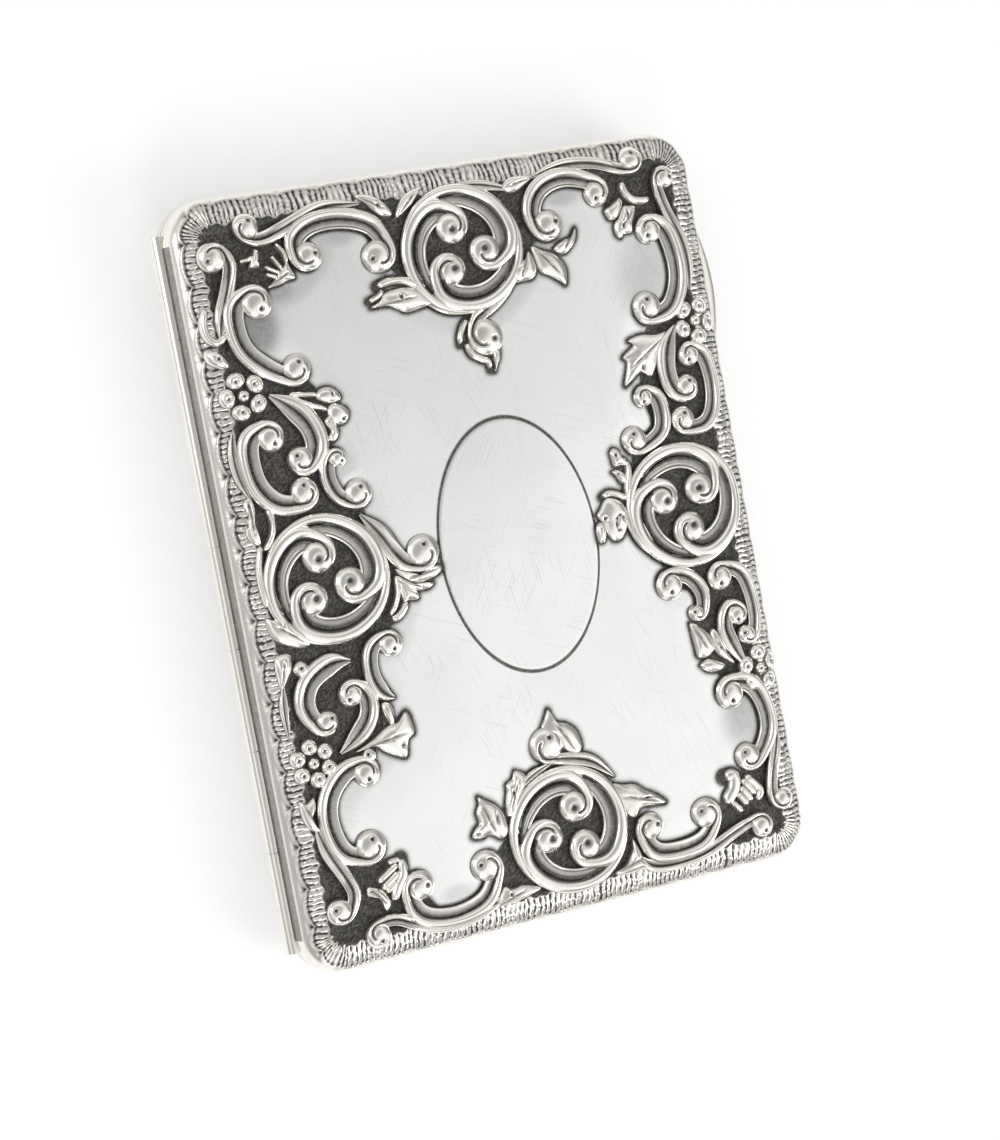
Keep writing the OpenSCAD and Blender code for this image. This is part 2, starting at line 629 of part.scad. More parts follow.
// Loops on the back lining that the pencil slides through
module pencil_loops() {
  wide = loop_r + loop_t;
  color("saddlebrown") for (up = loop_up)
    translate([pencil_x, pencil_y + up, pencil_z]) difference() {
      union() {
        rotate([90, 0, 0]) cylinder(r = wide, h = loop_l, center = true, $fn = 48);
        translate([-wide, -loop_l / 2, -wide]) cube([2 * wide, loop_l, wide]);
      }
      rotate([90, 0, 0]) cylinder(r = loop_r, h = 2 * loop_l, center = true, $fn = 48);
    }
}

// Round piece along the pencil: radius and place of each point of its outline
module turned_piece(outline) {
  translate([pencil_x, pencil_y, pencil_z]) rotate([-90, 0, 0])
    rotate_extrude($fn = 48) polygon(outline);
}

module pencil_barrel() {
  color("midnightblue")
    turned_piece([[0, -cone_l], [lead_r, -cone_l], [pencil_r, 0], [pencil_r, pencil_l], [0, pencil_l]]);
}

module pencil_lead() {
  color("dimgray")
    turned_piece([[0, -cone_l - lead_l], [lead_r, -cone_l], [0, -cone_l]]);
}

module pencil_collar() {
  color("silver") turned_piece([
    [0, pencil_l], [pencil_r, pencil_l], [pencil_r, pencil_l + collar_l], [0, pencil_l + collar_l]
  ]);
}

module pencil_finial() {
  start = pencil_l + collar_l;
  color("silver") turned_piece([
    [0, start], [0.5 * pencil_r, start], [0.5 * pencil_r, start + finial_l / 4],
    [0.85 * pencil_r, start + finial_l / 2], [0.6 * pencil_r, start + 0.85 * finial_l],
    [0, start + finial_l]
  ]);
}

front_cover();
back_cover();
front_joint_bearer();
back_joint_bearer();
front_knuckles();
back_knuckles();
hinge_pin();
bezel();
bezel_pips();
front_lining();
back_lining();
front_pocket();
stamp_pocket();
pocket_ribbon();
pad_strap();
notepad_board();
notepad_leaves();
notepad_tape();
notepad_staples();
pencil_loops();
pencil_barrel();
pencil_collar();
pencil_finial();
pencil_lead();
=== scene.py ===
import json
import math
import bmesh
import bpy
import numpy as np
from mathutils import Matrix, Vector


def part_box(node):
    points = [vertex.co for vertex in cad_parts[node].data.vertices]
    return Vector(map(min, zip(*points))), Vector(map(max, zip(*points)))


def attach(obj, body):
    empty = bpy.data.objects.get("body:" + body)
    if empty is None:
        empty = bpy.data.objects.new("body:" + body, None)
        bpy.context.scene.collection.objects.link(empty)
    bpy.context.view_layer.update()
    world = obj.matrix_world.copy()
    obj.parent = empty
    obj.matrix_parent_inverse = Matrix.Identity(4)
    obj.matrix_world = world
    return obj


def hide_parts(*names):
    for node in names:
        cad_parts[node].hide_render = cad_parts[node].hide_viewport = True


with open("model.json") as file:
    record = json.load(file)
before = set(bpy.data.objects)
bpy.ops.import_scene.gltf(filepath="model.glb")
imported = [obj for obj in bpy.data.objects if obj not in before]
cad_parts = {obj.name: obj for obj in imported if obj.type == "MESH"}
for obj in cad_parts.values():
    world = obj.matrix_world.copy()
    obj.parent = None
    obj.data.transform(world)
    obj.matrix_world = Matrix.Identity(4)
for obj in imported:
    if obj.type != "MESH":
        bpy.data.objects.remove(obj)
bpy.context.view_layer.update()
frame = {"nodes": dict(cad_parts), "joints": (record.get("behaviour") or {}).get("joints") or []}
mm = 0.001
scene = bpy.context.scene


def nodeBox(name):  # lowest and highest corner of a solid, in millimetres
    low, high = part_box(name)
    return np.array(low) / mm, np.array(high) / mm


# Sizes that the solids already hold
backHigh = nodeBox("back_cover")[1]
hinge = [j for j in frame["joints"] if j["name"] == "cover_hinge"][0]
jointX, jointZ = hinge["pos_m"][0] / mm, hinge["pos_m"][2] / mm
case = dict(
    sheet=0.7, cornerR=6.0, crownW=4.5, crownH=3.6, panelIn=4.0,  # as the covers are drawn
    halfW=backHigh[0], halfH=backHigh[1], meetZ=backHigh[2],
)
case["frontZ"] = nodeBox("front_lining")[1][2] + case["sheet"]

camera = dict(place=(-123.6, 18.0, 332.3), aim=(-1.4, -3.5, 10.5), roll=10.5, lens=80.2, sensor=36,
              nearest=0.01)


def setCamera():
    data = bpy.data.cameras.new("camera")
    data.lens = camera["lens"]
    data.sensor_width = camera["sensor"]
    data.clip_start = camera["nearest"]
    obj = bpy.data.objects.new("camera", data)
    way = Vector(camera["aim"]) - Vector(camera["place"])
    turn = way.to_track_quat("-Z", "Y").to_matrix().to_4x4()
    obj.matrix_world = Matrix.Translation(Vector(camera["place"]) * mm) @ turn
    scene.collection.objects.link(obj)
    scene.camera = obj
    # the front's own upward direction stands camera["roll"] degrees off the picture's
    up = turn.to_3x3().inverted() @ Vector((0, 1, 0))
    lean = math.atan2(up.x, up.y) + math.radians(camera["roll"])
    obj.matrix_world = obj.matrix_world @ Matrix.Rotation(-lean, 4, "Z")


setCamera()
scene.view_settings.view_transform = "Standard"
print("stage: camera")


# Shader sockets with ordinary arithmetic
class Sock:
    def __init__(self, shader, out):
        self.shader = shader
        self.out = out

    def math(self, op, *others):
        return self.shader.node("ShaderNodeMath", dict(operation=op), [self, *others])

    def __add__(self, o):
        return self.math("ADD", o)

    def __radd__(self, o):
        return self.math("ADD", o)

    def __sub__(self, o):
        return self.math("SUBTRACT", o)

    def __rsub__(self, o):
        return self.shader.node("ShaderNodeMath", dict(operation="SUBTRACT"), [o, self])

    def __mul__(self, o):
        return self.math("MULTIPLY", o)

    def __rmul__(self, o):
        return self.math("MULTIPLY", o)

    def __truediv__(self, o):
        return self.math("DIVIDE", o)

    def abs(self):
        return self.math("ABSOLUTE")

    def sqrt(self):
        return self.math("SQRT")

    def sin(self):
        return self.math("SINE")

    def clip(self):
        return self.shader.node("ShaderNodeClamp", {}, [self])

    def step(self, low, high):  # 0 below low, 1 above high, smooth between
        inputs = {"Value": self, "From Min": low, "From Max": high}
        return self.shader.node("ShaderNodeMapRange", dict(interpolation_type="SMOOTHSTEP"), inputs)


class Shader:
    def __init__(self, name, owner=None, surface="Principled BSDF"):
        self.material = owner or bpy.data.materials.new(name)
        self.material.use_nodes = True
        self.tree = self.material.node_tree
        self.surface = self.tree.nodes[surface]

    def node(self, kind, settings=None, inputs=(), out=0):
        made = self.tree.nodes.new(kind)
        for key, value in (settings or {}).items():
            setattr(made, key, value)
        pairs = inputs.items() if isinstance(inputs, dict) else enumerate(inputs)
        for key, value in pairs:
            self.put(made.inputs[key], value)
        return Sock(self, made.outputs[out])

    def put(self, socket, value):
        if isinstance(value, Sock):
            self.tree.links.new(value.out, socket)
        else:
            socket.default_value = value

    def set(self, **values):
        for key, value in values.items():
            self.put(self.surface.inputs[key.replace("_", " ")], value)

    def place(self):
        return self.node("ShaderNodeTexCoord", out="Object")

    def scaled(self, size, turn=(0, 0, 0), shift=(0, 0, 0)):
        # object coordinates moved, turned, then times size
        inputs = {"Vector": self.place(), "Scale": [1 / v for v in size], "Rotation": turn}
        inputs["Location"] = shift
        return self.node("ShaderNodeMapping", dict(vector_type="TEXTURE"), inputs)

    def noise(self, where, scale, detail=2.0, rough=0.5):
        inputs = {"Vector": where, "Scale": scale, "Detail": detail, "Roughness": rough}
        return self.node("ShaderNodeTexNoise", {}, inputs)

    def attribute(self, name):
        return self.node("ShaderNodeAttribute", dict(attribute_name=name), out="Fac")

    def xyz(self):
        parts = self.node("ShaderNodeSeparateXYZ", {}, [self.place()])
        return [Sock(self, parts.out.node.outputs[i]) for i in range(3)]

    def mix(self, factor, a, b):
        def full(c):
            return c if isinstance(c, Sock) else (*c, 1) if len(c) == 3 else c

        inputs = {0: factor, 6: full(a), 7: full(b)}
        return self.node("ShaderNodeMix", dict(data_type="RGBA"), inputs, out=2)

    def bump(self, height, strength, distance):
        inputs = {"Strength": strength, "Distance": distance, "Height": height}
        return self.node("ShaderNodeBump", {}, inputs)


# Meshes from grids of points
class Sheet:
    def __init__(self):
        self.points, self.faces, self.values, self.count = [], [], [], 0

    def add(self, pts, patinaAndShade=0.0, closeU=False, closeV=False, flip=False):
        # pts is a grid (rows, columns, 3) in millimetres, the darkness of patina and painted shade one value
        # or one a point
        nu, nv = pts.shape[:2]
        u = np.arange(nu if closeU else nu - 1)[:, None]
        v = np.arange(nv if closeV else nv - 1)[None, :]
        a, b = u * nv + v, ((u + 1) % nu) * nv + v
        c, d = ((u + 1) % nu) * nv + (v + 1) % nv, u * nv + (v + 1) % nv
        quad = [a, d, c, b] if flip else [a, b, c, d]
        self.faces.append(np.stack(np.broadcast_arrays(*quad), -1).reshape(-1, 4) + self.count)
        self.points.append(pts.reshape(-1, 3))
        self.values.append(np.broadcast_to(np.asarray(patinaAndShade, float), (nu, nv)).reshape(-1))
        self.count += nu * nv
        return self

    def make(self, name, body, material, slot, replaces=()):
        pts, faces = np.concatenate(self.points) * mm, np.concatenate(self.faces)
        mesh = bpy.data.meshes.new(name)
        mesh.vertices.add(len(pts))
        mesh.vertices.foreach_set("co", pts.astype(np.float32).ravel())
        mesh.loops.add(faces.size)
        mesh.loops.foreach_set("vertex_index", faces.astype(np.int32).ravel())
        mesh.polygons.add(len(faces))
        mesh.polygons.foreach_set("loop_start", np.arange(0, faces.size, 4, dtype=np.int32))
        mesh.polygons.foreach_set("loop_total", np.full(len(faces), 4, np.int32))
        mesh.update(calc_edges=True)
        shade = mesh.attributes.new("patinaAndShade", "FLOAT", "POINT")
        shade.data.foreach_set("value", np.concatenate(self.values).astype(np.float32))
        weld = bmesh.new()
        weld.from_mesh(mesh)
        bmesh.ops.remove_doubles(weld, verts=weld.verts, dist=1e-8)  # closes poles and end seams
        weld.to_mesh(mesh)
        weld.free()
        mesh.polygons.foreach_set("use_smooth", np.ones(len(mesh.polygons), bool))
        mesh.materials.append(material)
        obj = bpy.data.objects.new(name, mesh)
        scene.collection.objects.link(obj)
        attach(obj, body)
        if replaces:
            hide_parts(*replaces)
        return obj


def smoothStep(low, high, x):  # 0 below low, 1 above high, 3t^2 - 2t^3 between
    t = np.clip((x - low) / (high - low), 0, 1)
    return t * t * (3 - 2 * t)


# Silver: bright where it is rubbed, dark where the polish doesn't reach and where shade is painted in
silverLook = dict(bright=(0.95, 0.926, 0.872), worn=(0.84, 0.813, 0.75), dark=(0.03, 0.028, 0.025),
                  stipple=(0.14, 0.132, 0.118), polished=0.24, dull=0.5)
fieldLook = dict(bright=(0.96, 0.958, 0.95), worn=(0.84, 0.835, 0.825))


# turn, fineness and shift of the scratches in the silver
hairRuns = [(0.42, 4200, 0.0), (1.15, 3700, 0.07), (-0.55, 4600, 0.13), (0.12, 4000, 0.19)]


def scratches(s):
    # fine straight hairs in four directions, each kept to its own patches
    hairs = 0
    for turn, scale, at in hairRuns:
        hair = s.noise(s.scaled((scale, 120, 300), (0, 0, turn)), 1.0, 1).step(0.63, 0.74)
        patch = s.noise(s.scaled((85, 85, 85), (0, 0, turn), (at, at, 0)), 1.0, 1).step(0.44, 0.62)
        hairs = hair * patch + hairs
    return hairs


def silverMaterial(name, look=silverLook, oval=None):
    # bright metal with hairs and clouds, dark and stippled where the patina and painted shade are high; the
    # front's also has the dark line round the oval
    s = Shader(name)
    patinaAndShade = s.attribute("patinaAndShade")
    fine = s.noise(s.place(), 1300, 3)
    broad = s.noise(s.place(), 60, 3)
    stipple = s.noise(s.scaled((2600, 7200, 2600), (0, 0, 0.7)), 1.0, 2)
    dark = (patinaAndShade * 1.15 + (fine - 0.5) * 0.4 * patinaAndShade + (broad - 0.5) * 0.15 * patinaAndShade).clip()
    if oval:
        x, y, z = s.xyz()
        ex, ey = (x - oval["x"] * mm) / (oval["a"] * mm), (y - oval["y"] * mm) / (oval["b"] * mm)
        away = ((ex * ex + ey * ey).sqrt() - 1).abs() * oval["a"] * oval["stretch"]
        wander = (s.noise(s.place(), 130, 2) - 0.5) * 0.22
        line = 1 - (away + wander * 0.4).step(oval["line"] * 0.4, oval["line"])
        top = z.step((case["frontZ"] - 1) * mm, (case["frontZ"] - 0.6) * mm)
        dark = (dark + line * top * 0.95).clip()
    marks = scratches(s)
    tone = s.mix((broad.step(0.35, 0.7) * 0.45 + marks * 0.75).clip(), look["bright"], look["worn"])
    ground = s.mix(stipple.step(0.4, 0.68), silverLook["dark"], silverLook["stipple"])
    s.set(Base_Color=s.mix(dark, tone, ground))
    s.set(Metallic=1 - dark * 0.5)
    s.set(Roughness=(silverLook["polished"] + dark * (silverLook["dull"] - silverLook["polished"])
                     + marks * 0.04 + (broad - 0.5) * 0.08).clip())
    height = fine * 0.2 + stipple * dark * 0.8 - marks * 0.12 + s.noise(s.place(), 220, 2) * 0.25
    s.set(Normal=s.bump(height, 0.35, 0.00006))
    return s.material


oval = dict(x=2.05, y=-0.6, a=11.5, b=17.5, line=0.3, stretch=1.15, rise=0.08, swell=0.1)
silver = silverMaterial("silver")
frontSilver = silverMaterial("frontSilver", fieldLook, oval)
print("stage: silver")


# The covers' outline
def edgeGap(x, y):  # distance in from the rounded outline
    qx = np.abs(x) - case["halfW"] + case["cornerR"]
    qy = np.abs(y) - case["halfH"] + case["cornerR"]
    outside = np.hypot(np.maximum(qx, 0), np.maximum(qy, 0))
    return case["cornerR"] - outside - np.minimum(np.maximum(qx, qy), 0)


def crownFall(d):  # quarter ellipse from the flat down to the wall
    t = np.clip((case["crownW"] - d) / case["crownW"], 0, 1)
    return case["crownH"] * (1 - np.sqrt(np.clip(1 - t * t, 0, 1)))


def frontLevel(x, y, least=0.0):  # no lower than the place that lies least in from the outline
    return case["frontZ"] - crownFall(np.maximum(edgeGap(x, y), least))


def bedLevel(x, y):  # what the ornament stands on
    return frontLevel(x + ornamentX, y, 0.9) - relief["recess"] * 0.6


def outline(count):  # count points round the rounded rectangle, with outward directions and length
    r, x, y = case["cornerR"], case["halfW"] - case["cornerR"], case["halfH"] - case["cornerR"]
    arc = r * math.pi / 2
    runs = [2 * y, arc, 2 * x, arc, 2 * y, arc, 2 * x, arc]
    ends = np.cumsum([0] + runs)
    s = np.arange(count) / count * ends[-1]
    k = np.clip(np.searchsorted(ends, s, side="right") - 1, 0, 7)
    t = s - ends[k]
    side = k // 2
    turn = side * math.pi / 2 + np.where(k % 2 == 1, t / r, 0)
    nx, ny = np.cos(turn), np.sin(turn)
    cx = np.choose(side, [x, -x, -x, x])
    cy = np.choose(side, [y, y, -y, -y])
    # along a straight run the centre slides from the last corner to the next
    back = np.where(k % 2 == 0, np.choose(side, [2 * y, 2 * x, 2 * y, 2 * x]) - t, 0)
    px = cx + r * nx + back * ny
    py = cy + r * ny - back * nx
    return px, py, nx, ny, s, ends[-1]


ribs = dict(count=4000, pitch=0.8, inner=4.3, outer=0.75, hingeRim=0.75, scallop=5.0, depth=0.22,
            lip=0.12, cusp=0.2)
joint = dict(x=jointX, z=jointZ, half=nodeBox("hinge_pin")[1][1] + 0.25, clear=1.35)


def ribbedEdge(up, depth, part):
    # profile from the meeting line up the wall, over the rounded edge and under the panel, with ribs
    # across a band and a scalloped line along its outer side; along the joint the wall is hollowed out
    px, py, nx, ny, s, total = [v[part] if np.ndim(v) else v for v in outline(ribs["count"])]
    d = np.concatenate([np.zeros(3), np.linspace(0, 0.8, 8)[1:], np.linspace(0.9, 4.4, 32)])
    d = np.append(d, [4.6, 4.9, 5.3])
    ss, dd = np.meshgrid(s, d, indexing="ij")
    z = case["meetZ"] + up * (depth - crownFall(dd) - 0.35 * smoothStep(4.45, 5.2, dd))
    z[:, :3] = case["meetZ"] + up * (depth - case["crownH"]) * np.array([0, 0.1, 1.0])
    turns = round(total / ribs["scallop"]) * math.pi / total
    lobe = np.abs(np.sin(ss * turns + 0.35 * np.sin(ss * turns * 0.37)))
    hingeSide = smoothStep(0.3, 0.9, -nx)[:, None]
    edge = ribs["outer"] + ribs["hingeRim"] * hingeSide + (0.4 + 0.3 * hingeSide) * (1 - lobe ** 0.6)
    rate = 2 * math.pi * round(total / ribs["pitch"]) / total
    drift = (2.4 * np.sin(ss * 0.31) + 1.3 * np.sin(ss * 0.83 + 1) + 0.6 * np.sin(ss * 1.9 + 2)
             + 0.2 * np.sin(ss * 4.1))
    ripple = np.cos(ss * rate + drift + 0.45 * np.sin(dd * 2.5 + ss * 0.9))
    ends = ribs["inner"] - 0.3 + 0.3 * np.sin(ss * 2.7) * np.sin(ss * 0.9 + 1)
    inBand = smoothStep(0, 0.3, dd - edge) * smoothStep(0, 0.3, ends - dd)
    broken = smoothStep(-0.5, 0.35, np.sin(dd * 4.6 + 3 * np.sin(ss * 1.7) + 2 * np.sin(ss * 4.3)))
    cut = inBand * (0.5 - 0.5 * ripple) ** 2.2 * (0.55 + 0.45 * broken)
    cross = inBand * (0.5 - 0.5 * np.cos(dd * 9 + 2 * np.sin(ss * 2.1))) ** 3
    cross = cross * smoothStep(0.2, 0.8, np.sin(ss * 1.3) * 0.5 + 0.5)
    lip = np.exp(-((dd - edge) / 0.17) ** 2)
    cusp = (1 - lobe) ** 3 * np.exp(-((dd - edge + 0.3) / 0.34) ** 2)
    drop = ribs["depth"] * (cut + 0.25 * cross) - ribs["lip"] * lip + ribs["cusp"] * cusp
    outward = np.stack([nx, ny], -1)[:, None, :]
    lean = np.clip(crownFall(dd) / case["crownH"], 0, 1) ** 0.5
    flat = np.stack([px, py], -1)[:, None, :] - (dd + drop * lean)[..., None] * outward
    z -= up * drop * (1 - lean * 0.6)
    behind = np.exp(-((dd - edge - 0.3) / 0.14) ** 2) * (0.35 + 0.45 * hingeSide)
    patchy = 0.8 + 0.45 * np.sin(ss * 0.47 + 1) * np.sin(ss * 1.13)
    dark = 1.3 * cut * patchy + 0.25 * cross + (0.35 + 0.85 * hingeSide) * cusp + behind
    dark = np.clip(dark, 0, 1) * smoothStep(0.1, 0.8, dd)
    dark = np.maximum(dark, 0.95 * smoothStep(ends - 0.25, ends + 0.15, dd) * (up > 0))
    dark[:, :2] = 0.9, 0.1  # the seam: painted shade where the two covers meet
    # beside the joint the three wall rows follow a hollow round it, and these rows and the next ones carry
    # painted shadow of the gap
    along = (nx < -0.999) & (np.abs(py) < joint["half"])
    for row, turn in enumerate((4, 42, 83)):
        flat[along, row, 0] = joint["x"] + joint["clear"] * math.cos(math.radians(turn))
        z[along, row] = joint["z"] + up * joint["clear"] * math.sin(math.radians(turn))
        dark[along, row] = 0.95 - 0.1 * row
    dark[along, 3:7] = 0.6
    return np.concatenate([flat, z[..., None]], -1), dark


def coverInside(up, depth):
    # profile from the outer meeting line across the edge, up the inner wall and over the inner flat
    px, py, nx, ny = outline(320)[:4]
    rise = depth - case["crownH"] - case["sheet"]
    a = np.linspace(0, math.pi / 2, 9)
    inset = np.concatenate([[0, 0.1, case["sheet"] - 0.1, case["sheet"]],
                            case["sheet"] + case["crownW"] * (1 - np.cos(a)), np.linspace(8, 37.5, 8)])
    top = np.full(8, rise + case["crownH"])
    high = np.concatenate([[0, 0, 0, 0.1], rise + case["crownH"] * np.sin(a), top])
    out = np.stack([px, py], -1)[:, None, :] - inset[None, :, None] * np.stack([nx, ny], -1)[:, None, :]
    limX, limY = case["halfW"] - inset, case["halfH"] - inset
    out[..., 0] = np.clip(out[..., 0], -limX[None], limX[None])
    out[..., 1] = np.clip(out[..., 1], -limY[None], limY[None])
    z = np.broadcast_to(case["meetZ"] + up * high[None, :], out.shape[:2])
    return np.concatenate([out, z[..., None]], -1)


# Ornament, in millimetres from the middle of the ornament. A scroll has a start, points on its way,
# an end and a half width. An end with four numbers is a curl: centre, radius, 1 left or -1 right.
ornamentX = 1.1
scrolls = [
    # top, left of the whorl
    [[-28.9, 47.4, 1.6, -1], [[-27, 45.4], [-23, 46.8], [-18, 48.5]], [-12.8, 48.2], 0.8],
    [[-21.1, 42.4, 1.7, 1], [[-22.8, 44.8], [-20.3, 46.5], [-16, 46.7], [-11.8, 45.3]],
     [-11.6, 40.9, 2, -1], 1.15],
    # top left corner
    [[-34.2, 44.1, 1.8, 1], [[-31.9, 42.8], [-33, 39.5], [-34.5, 36]], [-35, 33.4], 0.8],
    [[-29.3, 37.4, 1.9, -1], [[-32.5, 37.5], [-32.9, 34.5], [-32.2, 31.5], [-30, 29]],
     [-25.6, 28.1, 1.7, 1], 1.15],
    # left side, above the whorl
    [[-30, 25.2], [[-27, 23], [-25.2, 20.5], [-24.7, 17.5]], [-27.4, 16.2, 1.6, -1], 1.35],
    [[-30.8, 19.7, 1.7, -1], [[-33.9, 20], [-34.4, 17], [-33.8, 13.5], [-31.5, 10.8]],
     [-27.7, 12, 1.7, 1], 1.2],
    [[-22.4, 15.5, 1.1, -1], [[-24, 15], [-24.2, 13], [-23.3, 10.5]], [-20.4, 10.5, 1.7, 1], 0.9],
    [[-35.6, 21.6], [[-36.3, 19], [-36.1, 15]], [-35, 12], 0.5],
    [[-20.8, 7.6], [[-18.6, 4.8], [-17.3, 2.2], [-15.9, 0]], [-13, 1.1, 2.1, 1], 1],
    # left side, below the whorl
    [[-25.8, -11.2], [[-28.5, -10.9], [-32, -12.8], [-33.2, -16]], [-30.5, -18.5, 1.4, 1], 1.2],
    [[-26.7, -15.6, 1.5, 1], [[-24.4, -16], [-24.6, -18.8], [-26.5, -21]], [-29.5, -23], 1.1],
    [[-19.9, -10.1, 1.5, -1], [[-22.8, -10.2], [-23.3, -13.5], [-22.3, -16.3]], [-20.7, -17.3], 0.9],
    [[-35.4, -12.5], [[-36, -15.5]], [-36, -19.8], 0.5],
    # bottom left corner
    [[-26.5, -26.3, 1.6, -1], [[-29.7, -25.5], [-32.3, -28.3], [-32.9, -32], [-31.7, -36]],
     [-27.8, -35.9, 1.9, 1], 1.15],
    [[-34.8, -31.5], [[-34, -35], [-32.4, -38.5], [-31.2, -41.5]], [-33.7, -43.6, 1.6, -1], 0.8],
    # bottom, left of the whorl
    [[-22.1, -42.7, 1.8, -1], [[-23.3, -46], [-21, -47.6], [-17, -48], [-13, -46.7]],
     [-12.4, -42.3, 1.9, 1], 1.15],
    [[-29, -47.9, 1.6, 1], [[-26, -46.3], [-23, -48], [-19, -49.1], [-14, -48.4]], [-9.5, -46.6], 0.7],
    # bottom, right of the whorl
    [[12.5, -42.6, 1.7, -1], [[12.5, -46.3], [16, -47], [20, -46.4]], [21, -42.7, 1.9, 1], 1.1],
    [[9.6, -46], [[11.5, -48.1], [15, -48.7], [20, -48.3], [24.5, -46.5]], [29.4, -46.4, 1.5, -1], 0.7],
    # bottom right corner
    [[34.5, -33], [[33.5, -36.5], [32.1, -40], [31.7, -43]], [33.4, -43.4, 1.4, 1], 0.7],
    [[28, -27.2, 1.9, 1], [[31.3, -26.2], [33, -29.5], [33, -33.5]], [29, -36.3, 1.7, -1], 1.15],
    # right side, below the whorl
    [[29.6, -10.8, 1.7, 1], [[33, -10.6], [34, -14], [34.1, -17.5]], [32.2, -19.5, 1.2, -1], 0.95],
    [[31.5, -24], [[29.7, -20.5], [29, -17.5], [30.2, -15]], [31.3, -16.5, 1.3, -1], 0.95],
    [[21.8, -10.5, 1.8, 1], [[25, -9.8], [26.6, -12.5]], [25.1, -15, 1, -1], 0.95],
    # right side, above the whorl
    [[22.9, 15.9, 1.2, 1], [[25, 15.8], [25.4, 13.5], [24.8, 10.8]], [20.5, 10.4, 1.7, -1], 1],
    [[30.9, 20.6, 1.4, 1], [[33.1, 20.6], [33.8, 17.5], [33.5, 13.5], [31.8, 10.8]], [28.4, 12, 1.6, -1],
     1],
    [[29.7, 25], [[27.9, 22.5], [27.2, 19], [27.8, 16]], [29.9, 16.4, 1.5, 1], 1.1],
    [[18.4, 1.8], [[19, -1.5], [20, -4.5]], [22, -7.4], 0.6],
    # top right corner
    [[28.2, 38.6, 1.7, 1], [[30.9, 38.2], [31.7, 34], [31.3, 30.5], [29.5, 27.5]], [26, 28.3, 1.9, -1],
     1.2],
    [[31.9, 45.6, 1.4, -1], [[30.7, 44], [31.6, 40.5], [33, 37], [33.4, 33]], [32.9, 29.5], 0.65],
    # top, right of the whorl
    [[13.6, 41.5, 1.9, 1], [[11.4, 44], [13.2, 46.7], [17, 47.7]], [21.4, 44.7, 1.6, -1], 1.15],
    [[12.2, 48.2], [[17, 49.3], [22, 48.9], [25.5, 47.5]], [27.6, 48.7, 1.6, 1], 0.7],
    [[0.5, 48.8], [[5, 48.2]], [9.3, 46.9], 0.6],
    # pendant under the top whorl and buds beside the others
    [[8.2, 36.3], [[6, 34.2], [3.2, 31.9], [0.6, 30.7]], [1.5, 27.9, 2.3, 1], 0.7],
    [[-7, 34.5], [[-3.5, 32.4]], [0.2, 31.4], 0.45],
    [[8.4, -34.6], [[5.6, -31.8], [2.2, -30.7]], [-0.6, -28.2, 2.2, -1], 0.7],
    [[-6.4, -34], [[-3.6, -31.8]], [0.4, -30.6], 0.45],
    [[21.3, -6.8], [[19.3, -4], [18.1, -1.6]], [17.2, 0.8], 0.7],
]
# whorls: centre and turn of the first eye; flowers: centre, turn of the first petal and number of petals
whorls = [[0.5, 40.1, 108], [-26.9, 0, 101], [0.5, -40.3, 66], [26.3, 0.2, 35]]
flowers = [[-33.4, 25.7, 108, 5], [32.9, 25.2, 60, 5], [-33.4, -23.5, 95, 6], [33.4, -24.6, 15, 5]]
